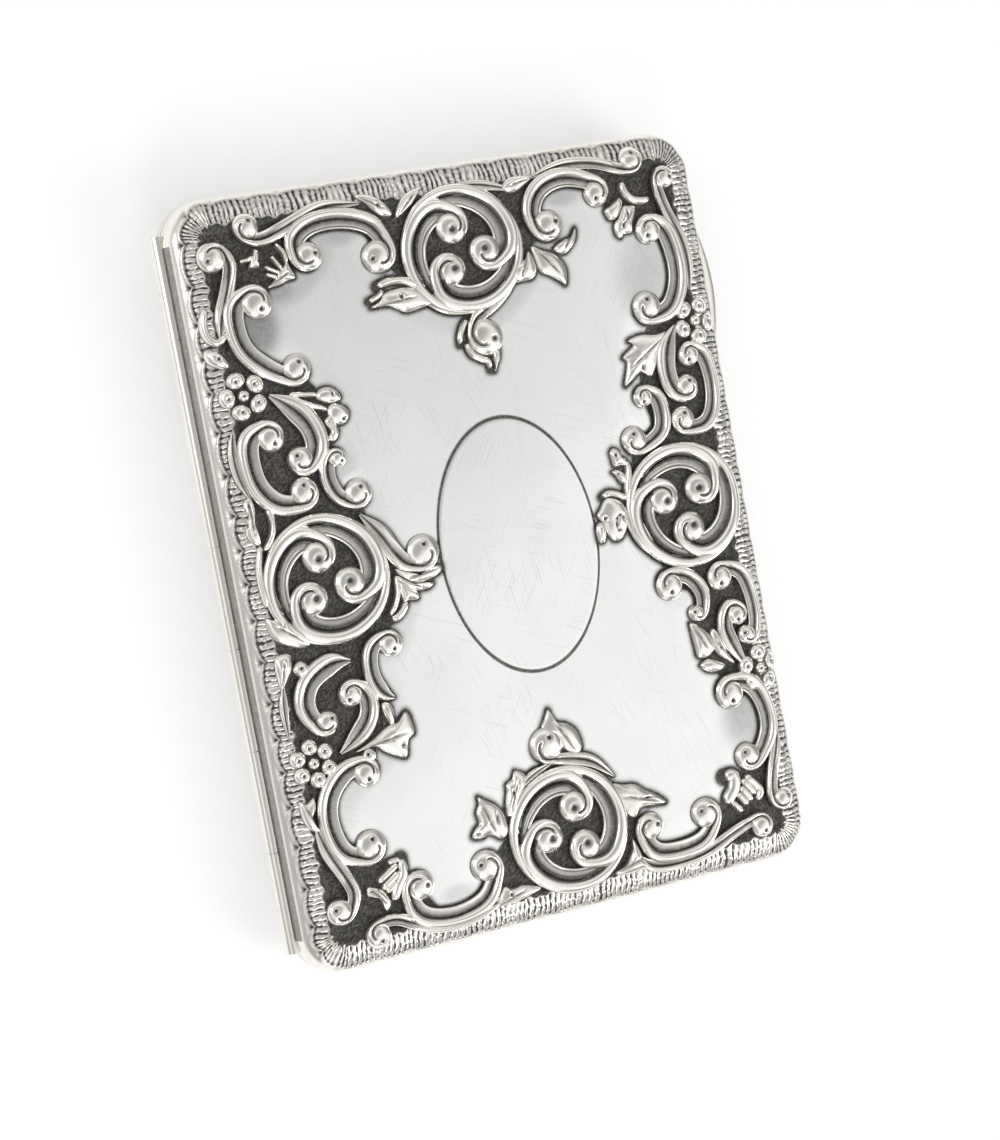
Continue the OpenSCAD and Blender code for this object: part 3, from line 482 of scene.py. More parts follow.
# leaves: points round the outline, then pits as place and half sizes
leaves = [
    # beside the top whorl
    ([(-5.2, 33.5), (-6.6, 33.3), (-8.9, 33), (-10.2, 33.7), (-11.4, 34.2), (-13.9, 34.3), (-12.4, 35),
     (-11.6, 35.9), (-9.5, 36.2), (-7.4, 36), (-5.8, 34.8)], [(-9.4, 35.1, 0.28, 0.4)]),
    ([(6.3, 35.6), (7.8, 37), (9.2, 37.3), (9.9, 38.4), (10.5, 37), (10.6, 35.6), (9.8, 34.7),
     (8.4, 34.6), (7, 34.5)], []),
    ([(10.5, 39), (12, 38.2), (13.5, 37.5), (14.6, 36.2), (15, 34.8), (14.6, 33.1), (13.8, 33.7),
     (12.5, 34.7), (11.3, 35.4), (10.8, 36.8)], []),
    ([(13.8, 38.1), (14.8, 38.9), (16.4, 39.3), (17.4, 40.5), (17.2, 39.2), (16.4, 38.2), (15.4, 37.4),
     (14.5, 37.5)], []),
    ([(-13.2, 49.3), (-11.6, 47.6), (-10.2, 46.2), (-8.6, 46), (-8.9, 47.2), (-10.4, 48.6),
     (-11.6, 49.2)], [(-10.4, 47.6, 0.2, 0.35)]),
    ([(-8, 45.6), (-7.4, 47.2), (-5.8, 48.6), (-3.6, 49.2), (-4.6, 48), (-6.2, 46.6)], []),
    ([(7.8, 47.3), (9.2, 46.6), (10.8, 47.2), (12.4, 48.3), (10.4, 48.6), (8.8, 48.4)], []),
    # tips of the pendant and of the buds
    ([(2.1, 26), (3.1, 26.1), (3, 25), (2.5, 24.1), (2, 23.1), (2.1, 24.4)], []),
    ([(-0.9, -26), (-0.1, -24.7), (0.6, -23.5), (1, -24.7), (1.7, -25.6), (2.8, -26), (3.9, -26.9),
     (4.4, -28.1), (4.5, -29.6), (3.8, -30.7), (2.6, -30.1), (1.6, -28.9), (1.2, -27.6), (0.4, -26.6)],
     []),
    ([(13, 0), (13.7, -0.3), (13.7, -1.4), (13.4, -2.5), (12.6, -2.5), (12.5, -1.4), (12.6, -0.5)], []),
    ([(17.5, 0.8), (16.9, 2.2), (15.5, 3.1), (14.5, 3), (13.7, 1.9), (13, 1), (13.8, -0.3), (14.1, -1.8),
     (15, -2.8), (16.2, -2.5), (17, -1.5), (17.4, -0.4)], [(14, 0.5, 0.25, 0.3), (16.7, 0.2, 0.16, 0.3),
     (16.2, 0.6, 0.3, 0.18), (15.7, 0.2, 0.2, 0.3), (15.5, -0.6, 0.17, 0.5), (15.8, -1.4, 0.3, 0.17)]),
    # beside the bottom whorl
    ([(-11.7, -33), (-10.7, -33.7), (-9.5, -34.6), (-8.7, -35.7), (-8.3, -37.1), (-8.3, -38.6),
     (-9.4, -39.3), (-10.9, -38.3), (-12.3, -38.6), (-13.5, -38.2), (-12.9, -37.2), (-12.1, -36.5),
     (-12.3, -35.2), (-11.8, -34.1)], [(-12.7, -37.9, 0.3, 0.2), (-9.6, -36.4, 0.16, 0.7)]),
    ([(-5.8, -30.7), (-4.4, -31.5), (-4.6, -32.8), (-5.6, -34), (-6.4, -35.3), (-7, -36.6), (-8, -36.4),
     (-7.9, -34.9), (-7.4, -33.4), (-7.3, -32.3), (-6.4, -31.8)], [(-6.6, -33.6, 0.2, 0.5)]),
    ([(8, -35.6), (9.5, -36.1), (11.3, -36.5), (12.6, -37.6), (14, -38.4), (15.5, -39.9), (13.6, -39.9),
     (11.6, -39.8), (10.6, -40.9), (9.6, -40.4), (9, -39.2), (8.2, -37.5)], [(12.6, -38.6, 0.7, 0.16)]),
    ([(-13.6, -48.7), (-11.8, -47.6), (-10.3, -45.8), (-9.3, -46.4), (-7.5, -46.2), (-5, -47.2),
     (-7.4, -47.9), (-9.6, -48.2), (-11.5, -48.3)], [(-9.6, -47, 0.2, 0.3)]),
    ([(9.5, -43.8), (10.2, -45.4), (10.6, -47), (12, -48.6), (10, -48.2), (7.8, -48.4), (6, -47.8),
     (8, -47), (9, -45.6)], []),
    # right side
    ([(28.6, 24.4), (26.5, 24.2), (24.4, 24.5), (22.3, 24), (23, 23.2), (21.1, 21.9), (21.6, 20.9),
     (20.6, 17.9), (22.4, 18.9), (23.5, 19.5), (24.7, 18.6), (25.7, 19.6), (26.4, 21), (27.2, 22.6)],
     [(23.7, 20, 0.22, 0.4)]),
    ([(16.4, 6.5), (17, 6.7), (17.7, 6.3), (18.1, 5.7), (18.1, 4.8), (17.4, 4.9), (17, 5.8)],
     [(17, 6.2, 0.2, 0.14)]),
    ([(16.6, 9.2), (17.1, 9.7), (17.8, 9.3), (17.9, 8.5), (18.7, 8), (18.5, 7.3), (17.5, 7.3),
     (16.8, 7.4), (16.7, 8.3)], [(17.2, 8.8, 0.16, 0.35)]),
    ([(23.9, -16.3), (25.4, -17.1), (26.4, -18.4), (26.9, -20.2), (26.4, -21), (25.2, -21.4),
     (24.2, -21), (24.1, -19.4)], []),
    ([(26.7, -18.3), (27.4, -17.7), (28, -19), (28.6, -21.2), (29.6, -23.2), (28, -22), (27, -20.6)],
     [(27.8, -20.4, 0.2, 0.25)]),
    ([(24.4, -22.4), (25.6, -21.8), (27.2, -22.4), (28.1, -23.1), (27, -23.7), (25.3, -23.3)], []),
    # left side
    ([(-23.6, 23.7), (-23.3, 24.6), (-22.2, 24.9), (-21.2, 24.6), (-20.4, 23.6), (-20.7, 23),
     (-22, 22.9)], [(-21.5, 24, 0.14, 0.35)]),
    ([(-22.5, 21.2), (-22.2, 22.3), (-21.3, 22.6), (-20.3, 22.1), (-19.7, 21.3), (-20.1, 20.3),
     (-21, 19.9), (-22, 20.3)], [(-20.5, 20.5, 0.3, 0.2)]),
    ([(-27.5, -23.3), (-24.5, -22), (-22.6, -21), (-21, -20.6), (-19.5, -19.4), (-18.9, -21),
     (-18.9, -22.5), (-19.9, -23.2), (-20.5, -25.4), (-22, -24.9), (-23.4, -24), (-24.6, -23.1)],
     [(-20.7, -23.7, 0.26, 0.28)]),
    ([(-26.6, -24.1), (-25.7, -23.2), (-24.8, -24.1), (-25.7, -25)], [(-25.9, -23.9, 0.2, 0.25)]),
    ([(-22.7, -17.8), (-21.6, -17.9), (-21.3, -19.5), (-21.6, -20.9), (-22.4, -19.8)], []),
    ([(-17.3, -0.4), (-16, -1.7), (-14.5, -2.2), (-13.2, -1.9), (-12.4, -1.1), (-10.8, -1.2), (-11, -2),
     (-12.4, -2.6), (-14.2, -2.9), (-15.8, -2.4), (-16.8, -1.5)], []),
    ([(-17.2, -1.4), (-16, -2.6), (-14.6, -3), (-12.4, -3.2), (-12.9, -3.8), (-14.4, -3.9),
     (-15.8, -3.5), (-16.7, -2.6)], []),
    ([(-17.1, -2.2), (-16.2, -3.2), (-15.2, -3.8), (-14.7, -4.3), (-15, -5), (-16.2, -4.8),
     (-16.9, -5.2), (-17, -4), (-17.3, -3)], []),
    ([(-37.3, 32.2), (-36, 32), (-35, 31), (-34.6, 29.7), (-36, 29.9), (-37.2, 30.8)],
     [(-35.8, 31, 0.2, 0.28)]),
    ([(-36.2, 11.8), (-35.6, 12.5), (-34.9, 12.1), (-34.8, 10.8), (-35.1, 9.4), (-35, 8), (-34.8, 6.4),
     (-35.4, 6.2), (-36.2, 7), (-36.5, 8.2), (-36, 9), (-35.8, 10), (-36, 10.9)],
     [(-35.5, 11.4, 0.16, 0.5)]),
    ([(-36.1, -3.4), (-35, -3.9), (-34.3, -3), (-33.4, -3.7), (-33, -5), (-32, -6.4), (-30.6, -7.8),
     (-32, -8.2), (-33.8, -7.5), (-35.3, -6.5), (-36, -5.2)], [(-34.3, -4.2, 0.16, 0.5)]),
    ([(-35.9, -9), (-34.8, -8.5), (-33.8, -8.8), (-33.8, -9.8), (-34.2, -11), (-35, -12.3), (-35.8, -13),
     (-36, -11.4)], []),
    ([(-33.7, -10.9), (-32.8, -9.9), (-31.8, -10.5), (-31.9, -11.6), (-32.8, -12)],
     [(-32.7, -10.8, 0.24, 0.26)]),
    ([(-36.3, -28), (-35.4, -28.6), (-34.3, -27.9), (-34.3, -29.4), (-35.1, -30.8), (-34.2, -32.6),
     (-35.6, -31.8), (-36.2, -30)], []),
    # plates of the corner shells
    ([(-27.4, 39.1), (-26.2, 40), (-25.2, 41.2), (-24.2, 42), (-23.9, 41.1), (-23.5, 39.9),
     (-24.8, 39.7), (-25.5, 39.4), (-26.3, 39.2)], []),
    ([(-28.3, 44.3), (-27.8, 43.8), (-28.1, 42.6), (-28.1, 42), (-29.4, 42.1), (-29, 42.9),
     (-28.7, 43.6)], []),
    ([(24.6, 43.6), (23.4, 42.8), (22.4, 42.2), (22.8, 41), (23.8, 41), (24.7, 42.2), (25.1, 43)], []),
    ([(25.1, 42.3), (24.3, 40.9), (23.5, 40.2), (23.4, 38.8), (24, 38.2), (24.5, 38.7), (25.8, 38.8),
     (26, 40), (26.6, 41), (26.9, 42.1), (26.1, 42.3)], [(25.5, 41.2, 0.14, 0.6),
     (24.6, 39.8, 0.2, 0.4)]),
    ([(-29.3, -41.3), (-28.3, -41.6), (-27.3, -42.3), (-26.8, -43.2), (-26.5, -44.2), (-27.3, -45),
     (-27.8, -44), (-28, -43), (-28.8, -42.7), (-29.5, -42.4)], [(-28.9, -41.9, 0.22, 0.15)]),
]
# small bars: points on the way and half width
bars = [
    ([(-12.5, 36.9), (-10.8, 37.4), (-8.6, 37.2), (-6.8, 36)], 0.42),
    ([(-14, 35.1), (-12.6, 35.7), (-11.8, 36.4)], 0.28),
    ([(-1.5, 27.6), (-0.9, 26), (0.3, 25.1), (1.2, 24.6), (1.45, 23.5)], 0.34),
    ([(-0.7, 30.7), (-1.5, 29.8), (-2.1, 28.6), (-2.3, 27.5)], 0.3),
    ([(-17.4, -1.2), (-17.5, -3.4), (-18.2, -5.2), (-19.3, -6.5)], 0.3),
    ([(-16.6, -4.9), (-17.2, -6), (-18.2, -6.8), (-19.2, -7)], 0.36),
    ([(14.2, 3.4), (15.2, 3.8), (16.6, 3.4), (17.8, 2.5)], 0.34),
    ([(18.3, 7.8), (18.8, 7), (18.6, 5.6), (18.2, 4.1), (17.9, 2.6)], 0.38),
    ([(-33.3, 10.8), (-32.8, 9.4), (-32.9, 7.8), (-33.6, 6.4), (-34.6, 5.2)], 0.34),
    ([(-34.9, 6.2), (-35.6, 4), (-35.9, 1.4), (-35.6, -2.2)], 0.34),
    ([(-27.4, 24.9), (-25.6, 24.6), (-23.4, 24.2)], 0.3),
    ([(-27.3, 24.4), (-25, 23.2), (-22.4, 22)], 0.3),
    ([(-23.1, 21), (-22.2, 19.7), (-22.2, 18.7), (-23.1, 17.9)], 0.45),
    ([(-36.2, 37.8), (-36.9, 35.8), (-36.6, 33.8), (-35.4, 33.1), (-34, 34.2)], 0.42),
    ([(-24.3, 41.8), (-24.5, 43.3), (-25.4, 44.7)], 0.26),
    ([(-25.1, 41.2), (-26.3, 43.2)], 0.24),
    ([(-25.4, 40.7), (-27.5, 41.9)], 0.24),
    ([(-25.9, 40.2), (-27.5, 40.9)], 0.24),
    ([(-30.7, 43), (-29.5, 43.1), (-28.7, 43.5)], 0.26),
    ([(25.5, 45.9), (25.7, 44.4), (26.7, 43.2), (28.1, 42.8), (29.4, 43)], 0.45),
    ([(-26.1, -38.7), (-24.2, -38.5)], 0.28),
    ([(-24, -38.5), (-24.1, -40.6), (-25.2, -42.2), (-26, -44)], 0.52),
    ([(-24.6, -39.1), (-27.9, -41)], 0.36),
    ([(-24.6, -40.2), (-27.4, -42)], 0.36),
    ([(-25.1, -41.4), (-26.9, -42.5)], 0.34),
    ([(24.9, -38.5), (26.3, -38.6), (26.1, -40.2), (25.2, -41.4), (24.7, -42.5)], 0.7),
    ([(26.4, -41.1), (27.7, -43.1)], 0.36),
    ([(27, -40.3), (28.5, -42.7)], 0.36),
    ([(27.4, -39.3), (29.2, -41.9)], 0.36),
    ([(25.4, -42.2), (26.7, -43.9)], 0.36),
    ([(28, -38.9), (29.2, -40.2), (30, -41.6), (29.2, -42.9)], 0.42),
]
# line under the inner scrolls, where the polished field meets the dark ground
fieldEdge = [
    [-24.5, 39.5], [-21, 42.3], [-19.5, 45.5], [-14, 45.8], [-11.7, 41], [-9, 37.5], [-7, 34],
    [-2, 31.8], [3, 31.8], [7.5, 35], [10.5, 38.5], [13.5, 41.5], [13, 45], [17, 46.8], [20.5, 45.5],
    [22, 43], [24.5, 39.8], [28.2, 38.6], [30.9, 36], [31.2, 31], [28.5, 27.2], [25.5, 25.5],
    [23.5, 21.5], [22.9, 16], [23.5, 12], [20.5, 10.4], [19.2, 6], [18.3, 1], [19.5, -4], [21.5, -8],
    [22, -10.5], [25.5, -12.5], [25.2, -15.5], [25, -19.5], [26.5, -23], [28, -27.2], [32, -29],
    [32, -34], [29, -36.3], [27, -40.5], [22.5, -42.5], [19.5, -45.2], [14, -45.2], [12.5, -42.6],
    [9.5, -39], [7.5, -35], [4, -32.2], [-3, -32.6], [-6.5, -35], [-9, -39.5], [-12.4, -42.3],
    [-14, -46], [-19, -46.7], [-22.1, -42.7], [-25.5, -40], [-27.8, -36], [-31, -34.5], [-31.8, -30],
    [-29, -26.5], [-24, -23.5], [-22.5, -20], [-22.5, -16], [-22.8, -11.5], [-20, -9.5], [-18.6, -6.8],
    [-17, -4], [-16.6, -1.5], [-17.4, 1.5], [-19.2, 5.5], [-20.5, 10.5], [-23.5, 12], [-22.4, 15.5],
    [-23.5, 19], [-22.5, 23.5], [-25.6, 28], [-30, 30], [-32, 33.5], [-31.5, 37], [-28.5, 38.5],
]
relief = dict(high=1.05, sunk=0.35, recess=0.3, curlTurn=190, curlR=0.95, whorlR=7.25, samples=120,
              wide=1.3, soft=0.75, bar=1.5, barHigh=0.95, bandStep=0.05)


def joinAngle(c, start):  # where the line from the start touches the curl's circle
    away = np.subtract(start, c[:2])
    return math.atan2(away[1], away[0]) + c[3] * math.acos(min(0.96, c[2] / np.hypot(*away)))


def curlPoints(c, start):
    # spiral from the tangent point towards the centre: radius falls evenly with the angle
    t = np.linspace(0, 1, 13)
    a = joinAngle(c, start) + c[3] * np.radians(relief["curlTurn"]) * t
    r = relief["curlR"] * c[2] * (1 - 0.25 * t)
    return np.stack([c[0] + r * np.cos(a), c[1] + r * np.sin(a), 0.8 - 0.6 * t], -1)


def scrollEnd(e, start):
    return curlPoints(e, start) if len(e) > 2 else np.array([[e[0], e[1], 0.16]])


def smoothLine(p, per=8):
    # Catmull-Rom curve through every point of p, per samples to a stretch
    q = np.concatenate([p[:1], p, p[-1:]])
    a, b, c, d = q[:-3, None], q[1:-2, None], q[2:-1, None], q[3:, None]
    t = np.arange(per)[None, :, None] / per
    out = b + 0.5 * t * (c - a + t * (2 * a - 5 * b + 4 * c - d + t * (3 * (b - c) + d - a)))
    return np.concatenate([out.reshape(-1, p.shape[1]), p[-1:]])


def evenly(p, count):
    # the same line with points at equal distances along it
    run = np.concatenate([[0], np.cumsum(np.hypot(*np.diff(p[:, :2], axis=0).T))])
    at = np.linspace(0, run[-1], count)
    return np.stack([np.interp(at, run, p[:, k]) for k in range(p.shape[1])], -1)


def soften(p):
    # running mean along the line, bell-shaped, with both ends carried on straight
    step = np.hypot(*(p[1] - p[0])[:2])
    k = np.arange(-12, 13)
    bell = np.exp(-0.5 * (k * step / relief["soft"]) ** 2)
    ends = np.concatenate([2 * p[0] - p[12:0:-1], p, 2 * p[-1] - p[-2:-14:-1]])
    return np.stack([np.convolve(ends[:, i], bell / bell.sum(), "valid") for i in range(p.shape[1])], -1)


def scrollLine(s):
    mids = np.array([[*m, 1.0][:3] for m in s[1]])
    first, last = scrollEnd(s[0], mids[0, :2]), scrollEnd(s[2], mids[-1, :2])
    line = evenly(smoothLine(np.concatenate([first[::-1], mids, last])), relief["samples"])
    return soften(line)


def whorlScrolls(w):
    # three arms a third of a turn apart, each from the ring inwards to its eye
    arms = []
    for turn in (0, 120, 240):
        def at(degrees, r):
            a = math.radians(w[2] + turn + degrees)
            return [w[0] + relief["whorlR"] * r * math.cos(a), w[1] + relief["whorlR"] * r * math.sin(a)]

        way = [(205, 1.08, 0.3), (172, 1.1, 0.45), (138, 1.08, 0.6), (104, 1.03, 0.8), (70, 0.98, 0.95),
               (40, 0.95, 1), (12, 0.9, 1)]
        course = [[*at(a, r), share] for a, r, share in way]
        arms.append([at(225, 1.02), course, [*at(0, 0.45), 2.0, -1], 1.5])
    return arms


# places across a band, from its thin edge to its roll, without and with a reed in the hollow
acrossEdge = [-1, -0.97, -0.9, -0.84, -0.78, -0.73, -0.68, -0.58]
acrossRoll = [0.06, 0.16, 0.3, 0.46, 0.62, 0.78, 0.9, 0.97, 1]
acrossPlain = np.array(acrossEdge + [-0.44, -0.28, -0.14, -0.07, -0.01] + acrossRoll)
acrossReed = np.array(acrossEdge + [-0.46, -0.35, -0.31, -0.25, -0.19, -0.12, -0.07, -0.02] + acrossRoll)


def bandHeight(v, reed=0.0):
    # a full roll along the outer side, a hollow beside it, with or without a thin reed, and a thin edge
    roll = np.sqrt(np.clip(1 - ((v - 0.49) / 0.51) ** 2, 0, 1))
    reed = 0.82 * reed * np.sqrt(np.clip(1 - ((v + 0.21) / 0.14) ** 2, 0, 1))
    t = (v + 0.4) / 0.36
    hollow = 0.5 * np.clip(1 - np.abs(t) ** 6, 0, 1) * (0.85 + 0.35 * t ** 2)
    edge = 0.62 * np.sqrt(np.clip(1 - ((v + 0.86) / 0.14) ** 2, 0, 1))
    return np.maximum(np.maximum(roll, reed), np.maximum(hollow, edge))


def hollowShade(v):  # painted shade in the hollow, deepest beside the roll
    inHollow = smoothStep(-0.78, -0.66, v) * (1 - smoothStep(0, 0.1, v))
    return (0.42 + 0.5 * smoothStep(-0.62, -0.06, v)) * inHollow


def band(line, half, high, lift=0.0, reed=0.0):
    # reeded band along a line: its points carry their share of the half width
    c, share = line[:, :2], line[:, 2]
    way = np.gradient(c, axis=0)
    way /= np.linalg.norm(way, axis=1)[:, None] + 1e-9
    side = np.stack([-way[:, 1], way[:, 0]], -1)
    bend = np.gradient(np.unwrap(np.arctan2(way[:, 1], way[:, 0])))
    bend = np.convolve(np.pad(bend, 9, mode="edge"), np.ones(19) / 19, "valid")
    lean = np.tanh(bend / 0.012)[:, None]
    v = (acrossReed if reed else acrossPlain)[None, :]
    w = (half * share * relief["wide"])[:, None]
    h = 0.5 * (1 + lean) * bandHeight(-v, reed) + 0.5 * (1 - lean) * bandHeight(v, reed)
    xy = c[:, None, :] + side[:, None, :] * (w * v)[..., None]
    full = high * (0.5 + 0.5 * share)[:, None]
    base = bedLevel(xy[..., 0], xy[..., 1])
    rim = np.abs(v) >= 0.999
    z = base + np.where(rim, -relief["sunk"], h * full + lift)
    # dark along the grooves and the foot: patina there, with painted shade down the lower flanks; painted
    # shade in the hollow
    near = 0.5 * (1 + lean) * hollowShade(-v) + 0.5 * (1 - lean) * hollowShade(v)
    dark = np.maximum(np.clip(1.4 - h / 0.42, 0, 1) ** 1.1, near)
    dark = np.maximum(dark, np.where(np.abs(v) > 0.93, 0.95, 0.0))
    pts = np.stack([xy[..., 0] + ornamentX, xy[..., 1], z], -1)
    return pts, dark


def disc(rings, around):  # shares of the radius and angles on a grid, with the rings closer at the rim
    turns = np.linspace(0, 2 * math.pi, around, endpoint=False)
    return np.meshgrid(np.linspace(0, 1, rings) ** 0.8, turns, indexing="xy")


def dome(x, y, r, high, pit=0.0, pitAt=(0.0, 0.0), squeeze=1.0, turn=0.0):
    # height falls from the middle as the root of 1 - rho^2.6, with a round pit taken out of it
    rho, a = disc(12, 28)
    lx, ly = rho * r * np.cos(a), rho * r * squeeze * np.sin(a)
    hole = np.exp(-((lx - pitAt[0] * r) / (0.22 * r)) ** 2 - ((ly - pitAt[1] * r) / (0.2 * r)) ** 2)
    px = x + lx * math.cos(turn) - ly * math.sin(turn)
    py = y + lx * math.sin(turn) + ly * math.cos(turn)
    z = bedLevel(px, py) + high * np.clip(1 - rho ** 2.6, 0, 1) ** 0.5
    z = z - pit * high * hole - relief["sunk"] * (rho > 0.999)
    # dark in the pit with patina, and round the rim with patina and painted shade at the foot
    dark = np.clip(pit * 2 * hole + smoothStep(0.86, 1.0, rho), 0, 1)
    return np.stack([px + ornamentX, py, z], -1), dark


def snail(x, y, r, high, first, side, off, wide):
    # full boss: a slit winds in from the rim where the band joins, and a pit lies off the middle
    # across from it
    rho, a = disc(22, 48)
    wind = np.mod(side * (a - first) + 0.6, 2 * math.pi)
    path = 0.99 - 0.6 * np.clip(wind / 2.7, 0, 1) ** 0.75
    slit = np.exp(-((rho - path) / (0.11 - 0.02 * wind)) ** 2) * (1 - smoothStep(2.4, 2.9, wind))
    pitX, pitY = off * math.cos(first + side * 3.4), off * math.sin(first + side * 3.4)
    pit = np.exp(-((rho * np.cos(a) - pitX) / wide) ** 2 - ((rho * np.sin(a) - pitY) / wide) ** 2)
    px, py = x + rho * r * np.cos(a), y + rho * r * np.sin(a)
    body = np.clip(1 - rho ** 2.1, 0, 1) ** 0.5
    z = bedLevel(px, py) + high * (body - 0.34 * slit * body - 0.26 * pit)
    z = z - relief["sunk"] * (rho > 0.999)
    # the slit and pit dark with patina; the rim dark with patina and painted shade at the foot
    dark = np.clip(0.95 * slit + 1.1 * pit ** 0.7 + smoothStep(0.9, 1.0, rho), 0, 1)
    return np.stack([px + ornamentX, py, z], -1), dark


leaf = dict(high=1.02, foot=0.2, vein=0.16, large=2.2)


def pillow(points, pits, high):
    # cushion over a closed outline: height follows the root of 1 - rho^2.4 out to it, with pits taken out
    n = len(points)
    rim = smoothLine(np.array(points[-2:] + points + points[:2], float), 6)[12:6 * (n + 2)]
    rim = evenly(np.concatenate([rim, rim[:1]]), len(rim) + 1)[:-1]
    turn = np.sum(rim[:, 0] * np.roll(rim[:, 1], -1) - np.roll(rim[:, 0], -1) * rim[:, 1])
    rim = rim if turn > 0 else rim[::-1]
    mid = rim.mean(0)
    # the dark foot, patina with painted shade, lies outside the outline
    rim = mid + (rim - mid) * (1 + leaf["foot"] / np.hypot(*(rim - mid).T))[:, None]
    rho = np.linspace(0, 1, 15)[None, :] ** 0.75
    parts = np.fft.fft(rim[:, 0] + 1j * rim[:, 1])
    parts[4:-3] = 0
    calm = np.fft.ifft(parts)  # the outline without its teeth, which the inner rings follow
    calm = np.stack([calm.real, calm.imag], -1)
    px, py = [mid[k] + rho * ((1 - rho) * (calm[:, k, None] - mid[k]) + rho * (rim[:, k, None] - mid[k]))
              for k in (0, 1)]
    body = np.clip(1 - rho ** 2.4, 0, 1) ** 0.5
    far = np.hypot(*(rim - mid).T)
    crease = 0.16 * smoothStep(0.2, 0.9, rho) * (1 - far / far.max())[:, None]
    holes = [np.exp(-((px - x) / rx) ** 2 - ((py - y) / ry) ** 2) for x, y, rx, ry in pits]
    hole = sum(holes, np.zeros_like(px))
    if far.max() > leaf["large"] and len(pits) < 3:  # a vein runs along the middle to the farthest tip
        way = (rim[far.argmax()] - mid) / far.max()
        along = ((px - mid[0]) * way[0] + (py - mid[1]) * way[1]) / far.max()
        off = (px - mid[0]) * way[1] - (py - mid[1]) * way[0]
        inside = smoothStep(-0.6, -0.2, along) * (1 - smoothStep(0.5, 0.85, along))
        hole = np.maximum(hole, 0.6 * np.exp(-(off / leaf["vein"]) ** 2) * inside)
    hole = np.clip(hole, 0, 1)
    z = bedLevel(px, py) + high * (body * (1 - crease) - 0.45 * hole)
    z = z - relief["sunk"] * (rho > 0.999)
    dark = np.clip(hole + smoothStep(0.9, 1.0, rho) + 0.5 * crease * smoothStep(0.5, 0.9, rho), 0, 1)
    return np.stack([px + ornamentX, py, z], -1), dark


def ridge(points, half, high):
    # round bar along a line, narrowing to both ends as the root of 1 - t^6
    line = evenly(smoothLine(np.array(points, float)), 32)
    way = np.gradient(line, axis=0)
    way /= np.linalg.norm(way, axis=1)[:, None]
    share = np.sqrt(1 - np.linspace(-1, 1, 32) ** 6)[:, None]
    v = np.linspace(-1, 1, 13)[None, :]
    px = line[:, :1] - way[:, 1:] * half * share * v
    py = line[:, 1:] + way[:, :1] * half * share * v
    z = bedLevel(px, py) + high * np.sqrt(1 - v * v) * share
    z = z - relief["sunk"] * (np.abs(v) > 0.999)
    # dark along both sides: patina with painted shade at the foot
    dark = smoothStep(0.75, 1.0, np.abs(v))
    return np.stack([px + ornamentX, py, z], -1), dark


lines = [(scrollLine(s), s[3], s) for s in scrolls]
arms = [(scrollLine(s), s[3], s) for w in whorls for s in whorlScrolls(w)]


def makeBands(name, bands, reed):
    sheet = Sheet()
    for i, (line, half, s) in enumerate(bands):
        sheet.add(*band(line, half, relief["high"], relief["bandStep"] * (i % 3), reed))
    sheet.make(name, "front", silver, "silver")


flower = dict(middle=0.85, out=2.25, petal=1.2, pit=0.42, pitAt=(-0.1, 0.1))


def makeLeaves():
    sheet = Sheet()
    for points, pits in leaves:
        sheet.add(*pillow(points, pits, leaf["high"] * relief["high"]), closeU=True)
    for points, half in bars:
        sheet.add(*ridge(points, half * relief["bar"], relief["barHigh"] * relief["high"]))
    for x, y, turn, count in flowers:
        sheet.add(*dome(x, y, flower["middle"], relief["high"], flower["pit"]), closeU=True)
        wide = 6.4 / (count + 0.4)  # fewer petals are wider
        for k in range(count):
            a = math.radians(turn + 360 / count * k)
            px, py = x + flower["out"] * math.cos(a), y + flower["out"] * math.sin(a)
            petal = dome(px, py, flower["petal"], relief["high"], flower["pit"], flower["pitAt"], wide, a)
            sheet.add(*petal, closeU=True)
    sheet.make("leafwork", "front", silver, "silver")


# bosses in the curls: radius, height, and how far off the middle the pit lies and how wide it is,
# as shares of the radius
curl = dict(grow=1.1, add=0.15, high=1.36, scrollPit=(0.42, 0.13), whorlPit=(0.16, 0.22))


def makeCurls():
    sheet = Sheet()
    high = curl["high"] * relief["high"]
    for bands, pit in ((lines, curl["scrollPit"]), (arms, curl["whorlPit"])):
        for line, half, s in bands:
            for e, mid in ((s[0], s[1][0]), (s[2], s[1][-1])):
                if len(e) > 2:
                    r = curl["grow"] * e[2] + curl["add"]
                    boss = snail(e[0], e[1], r, high, joinAngle(e, mid[:2]), e[3], *pit)
                    sheet.add(*boss, closeU=True)
    sheet.make("curlwork", "front", silver, "silver")


def nearestLine(x, y):
    # distance from each point to the edge of the nearest band, leaf or bar
    rims = [smoothLine(np.array(points + points[:1], float), 6) for points, pits in leaves]
    rods = [(evenly(smoothLine(np.array(points, float)), 24), half) for points, half in bars]
    edges = [(line[::2, :2], half * line[::2, 2] * relief["wide"]) for line, half, s in lines + arms]
    edges += [(rim, np.full(len(rim), 0.15)) for rim in rims]
    edges += [(rod, np.full(len(rod), relief["bar"] * half)) for rod, half in rods]
    mids, halves = [np.concatenate(part) for part in zip(*edges)]
    flat = np.stack([x.ravel(), y.ravel()], -1)
    out = np.empty(len(flat))
    for k in range(0, len(flat), 4000):  # a part at a time, to spare memory
        away = flat[k:k + 4000, None] - mids[None]
        out[k:k + 4000] = (np.hypot(away[..., 0], away[..., 1]) - halves[None]).min(1)
    return out.reshape(x.shape)


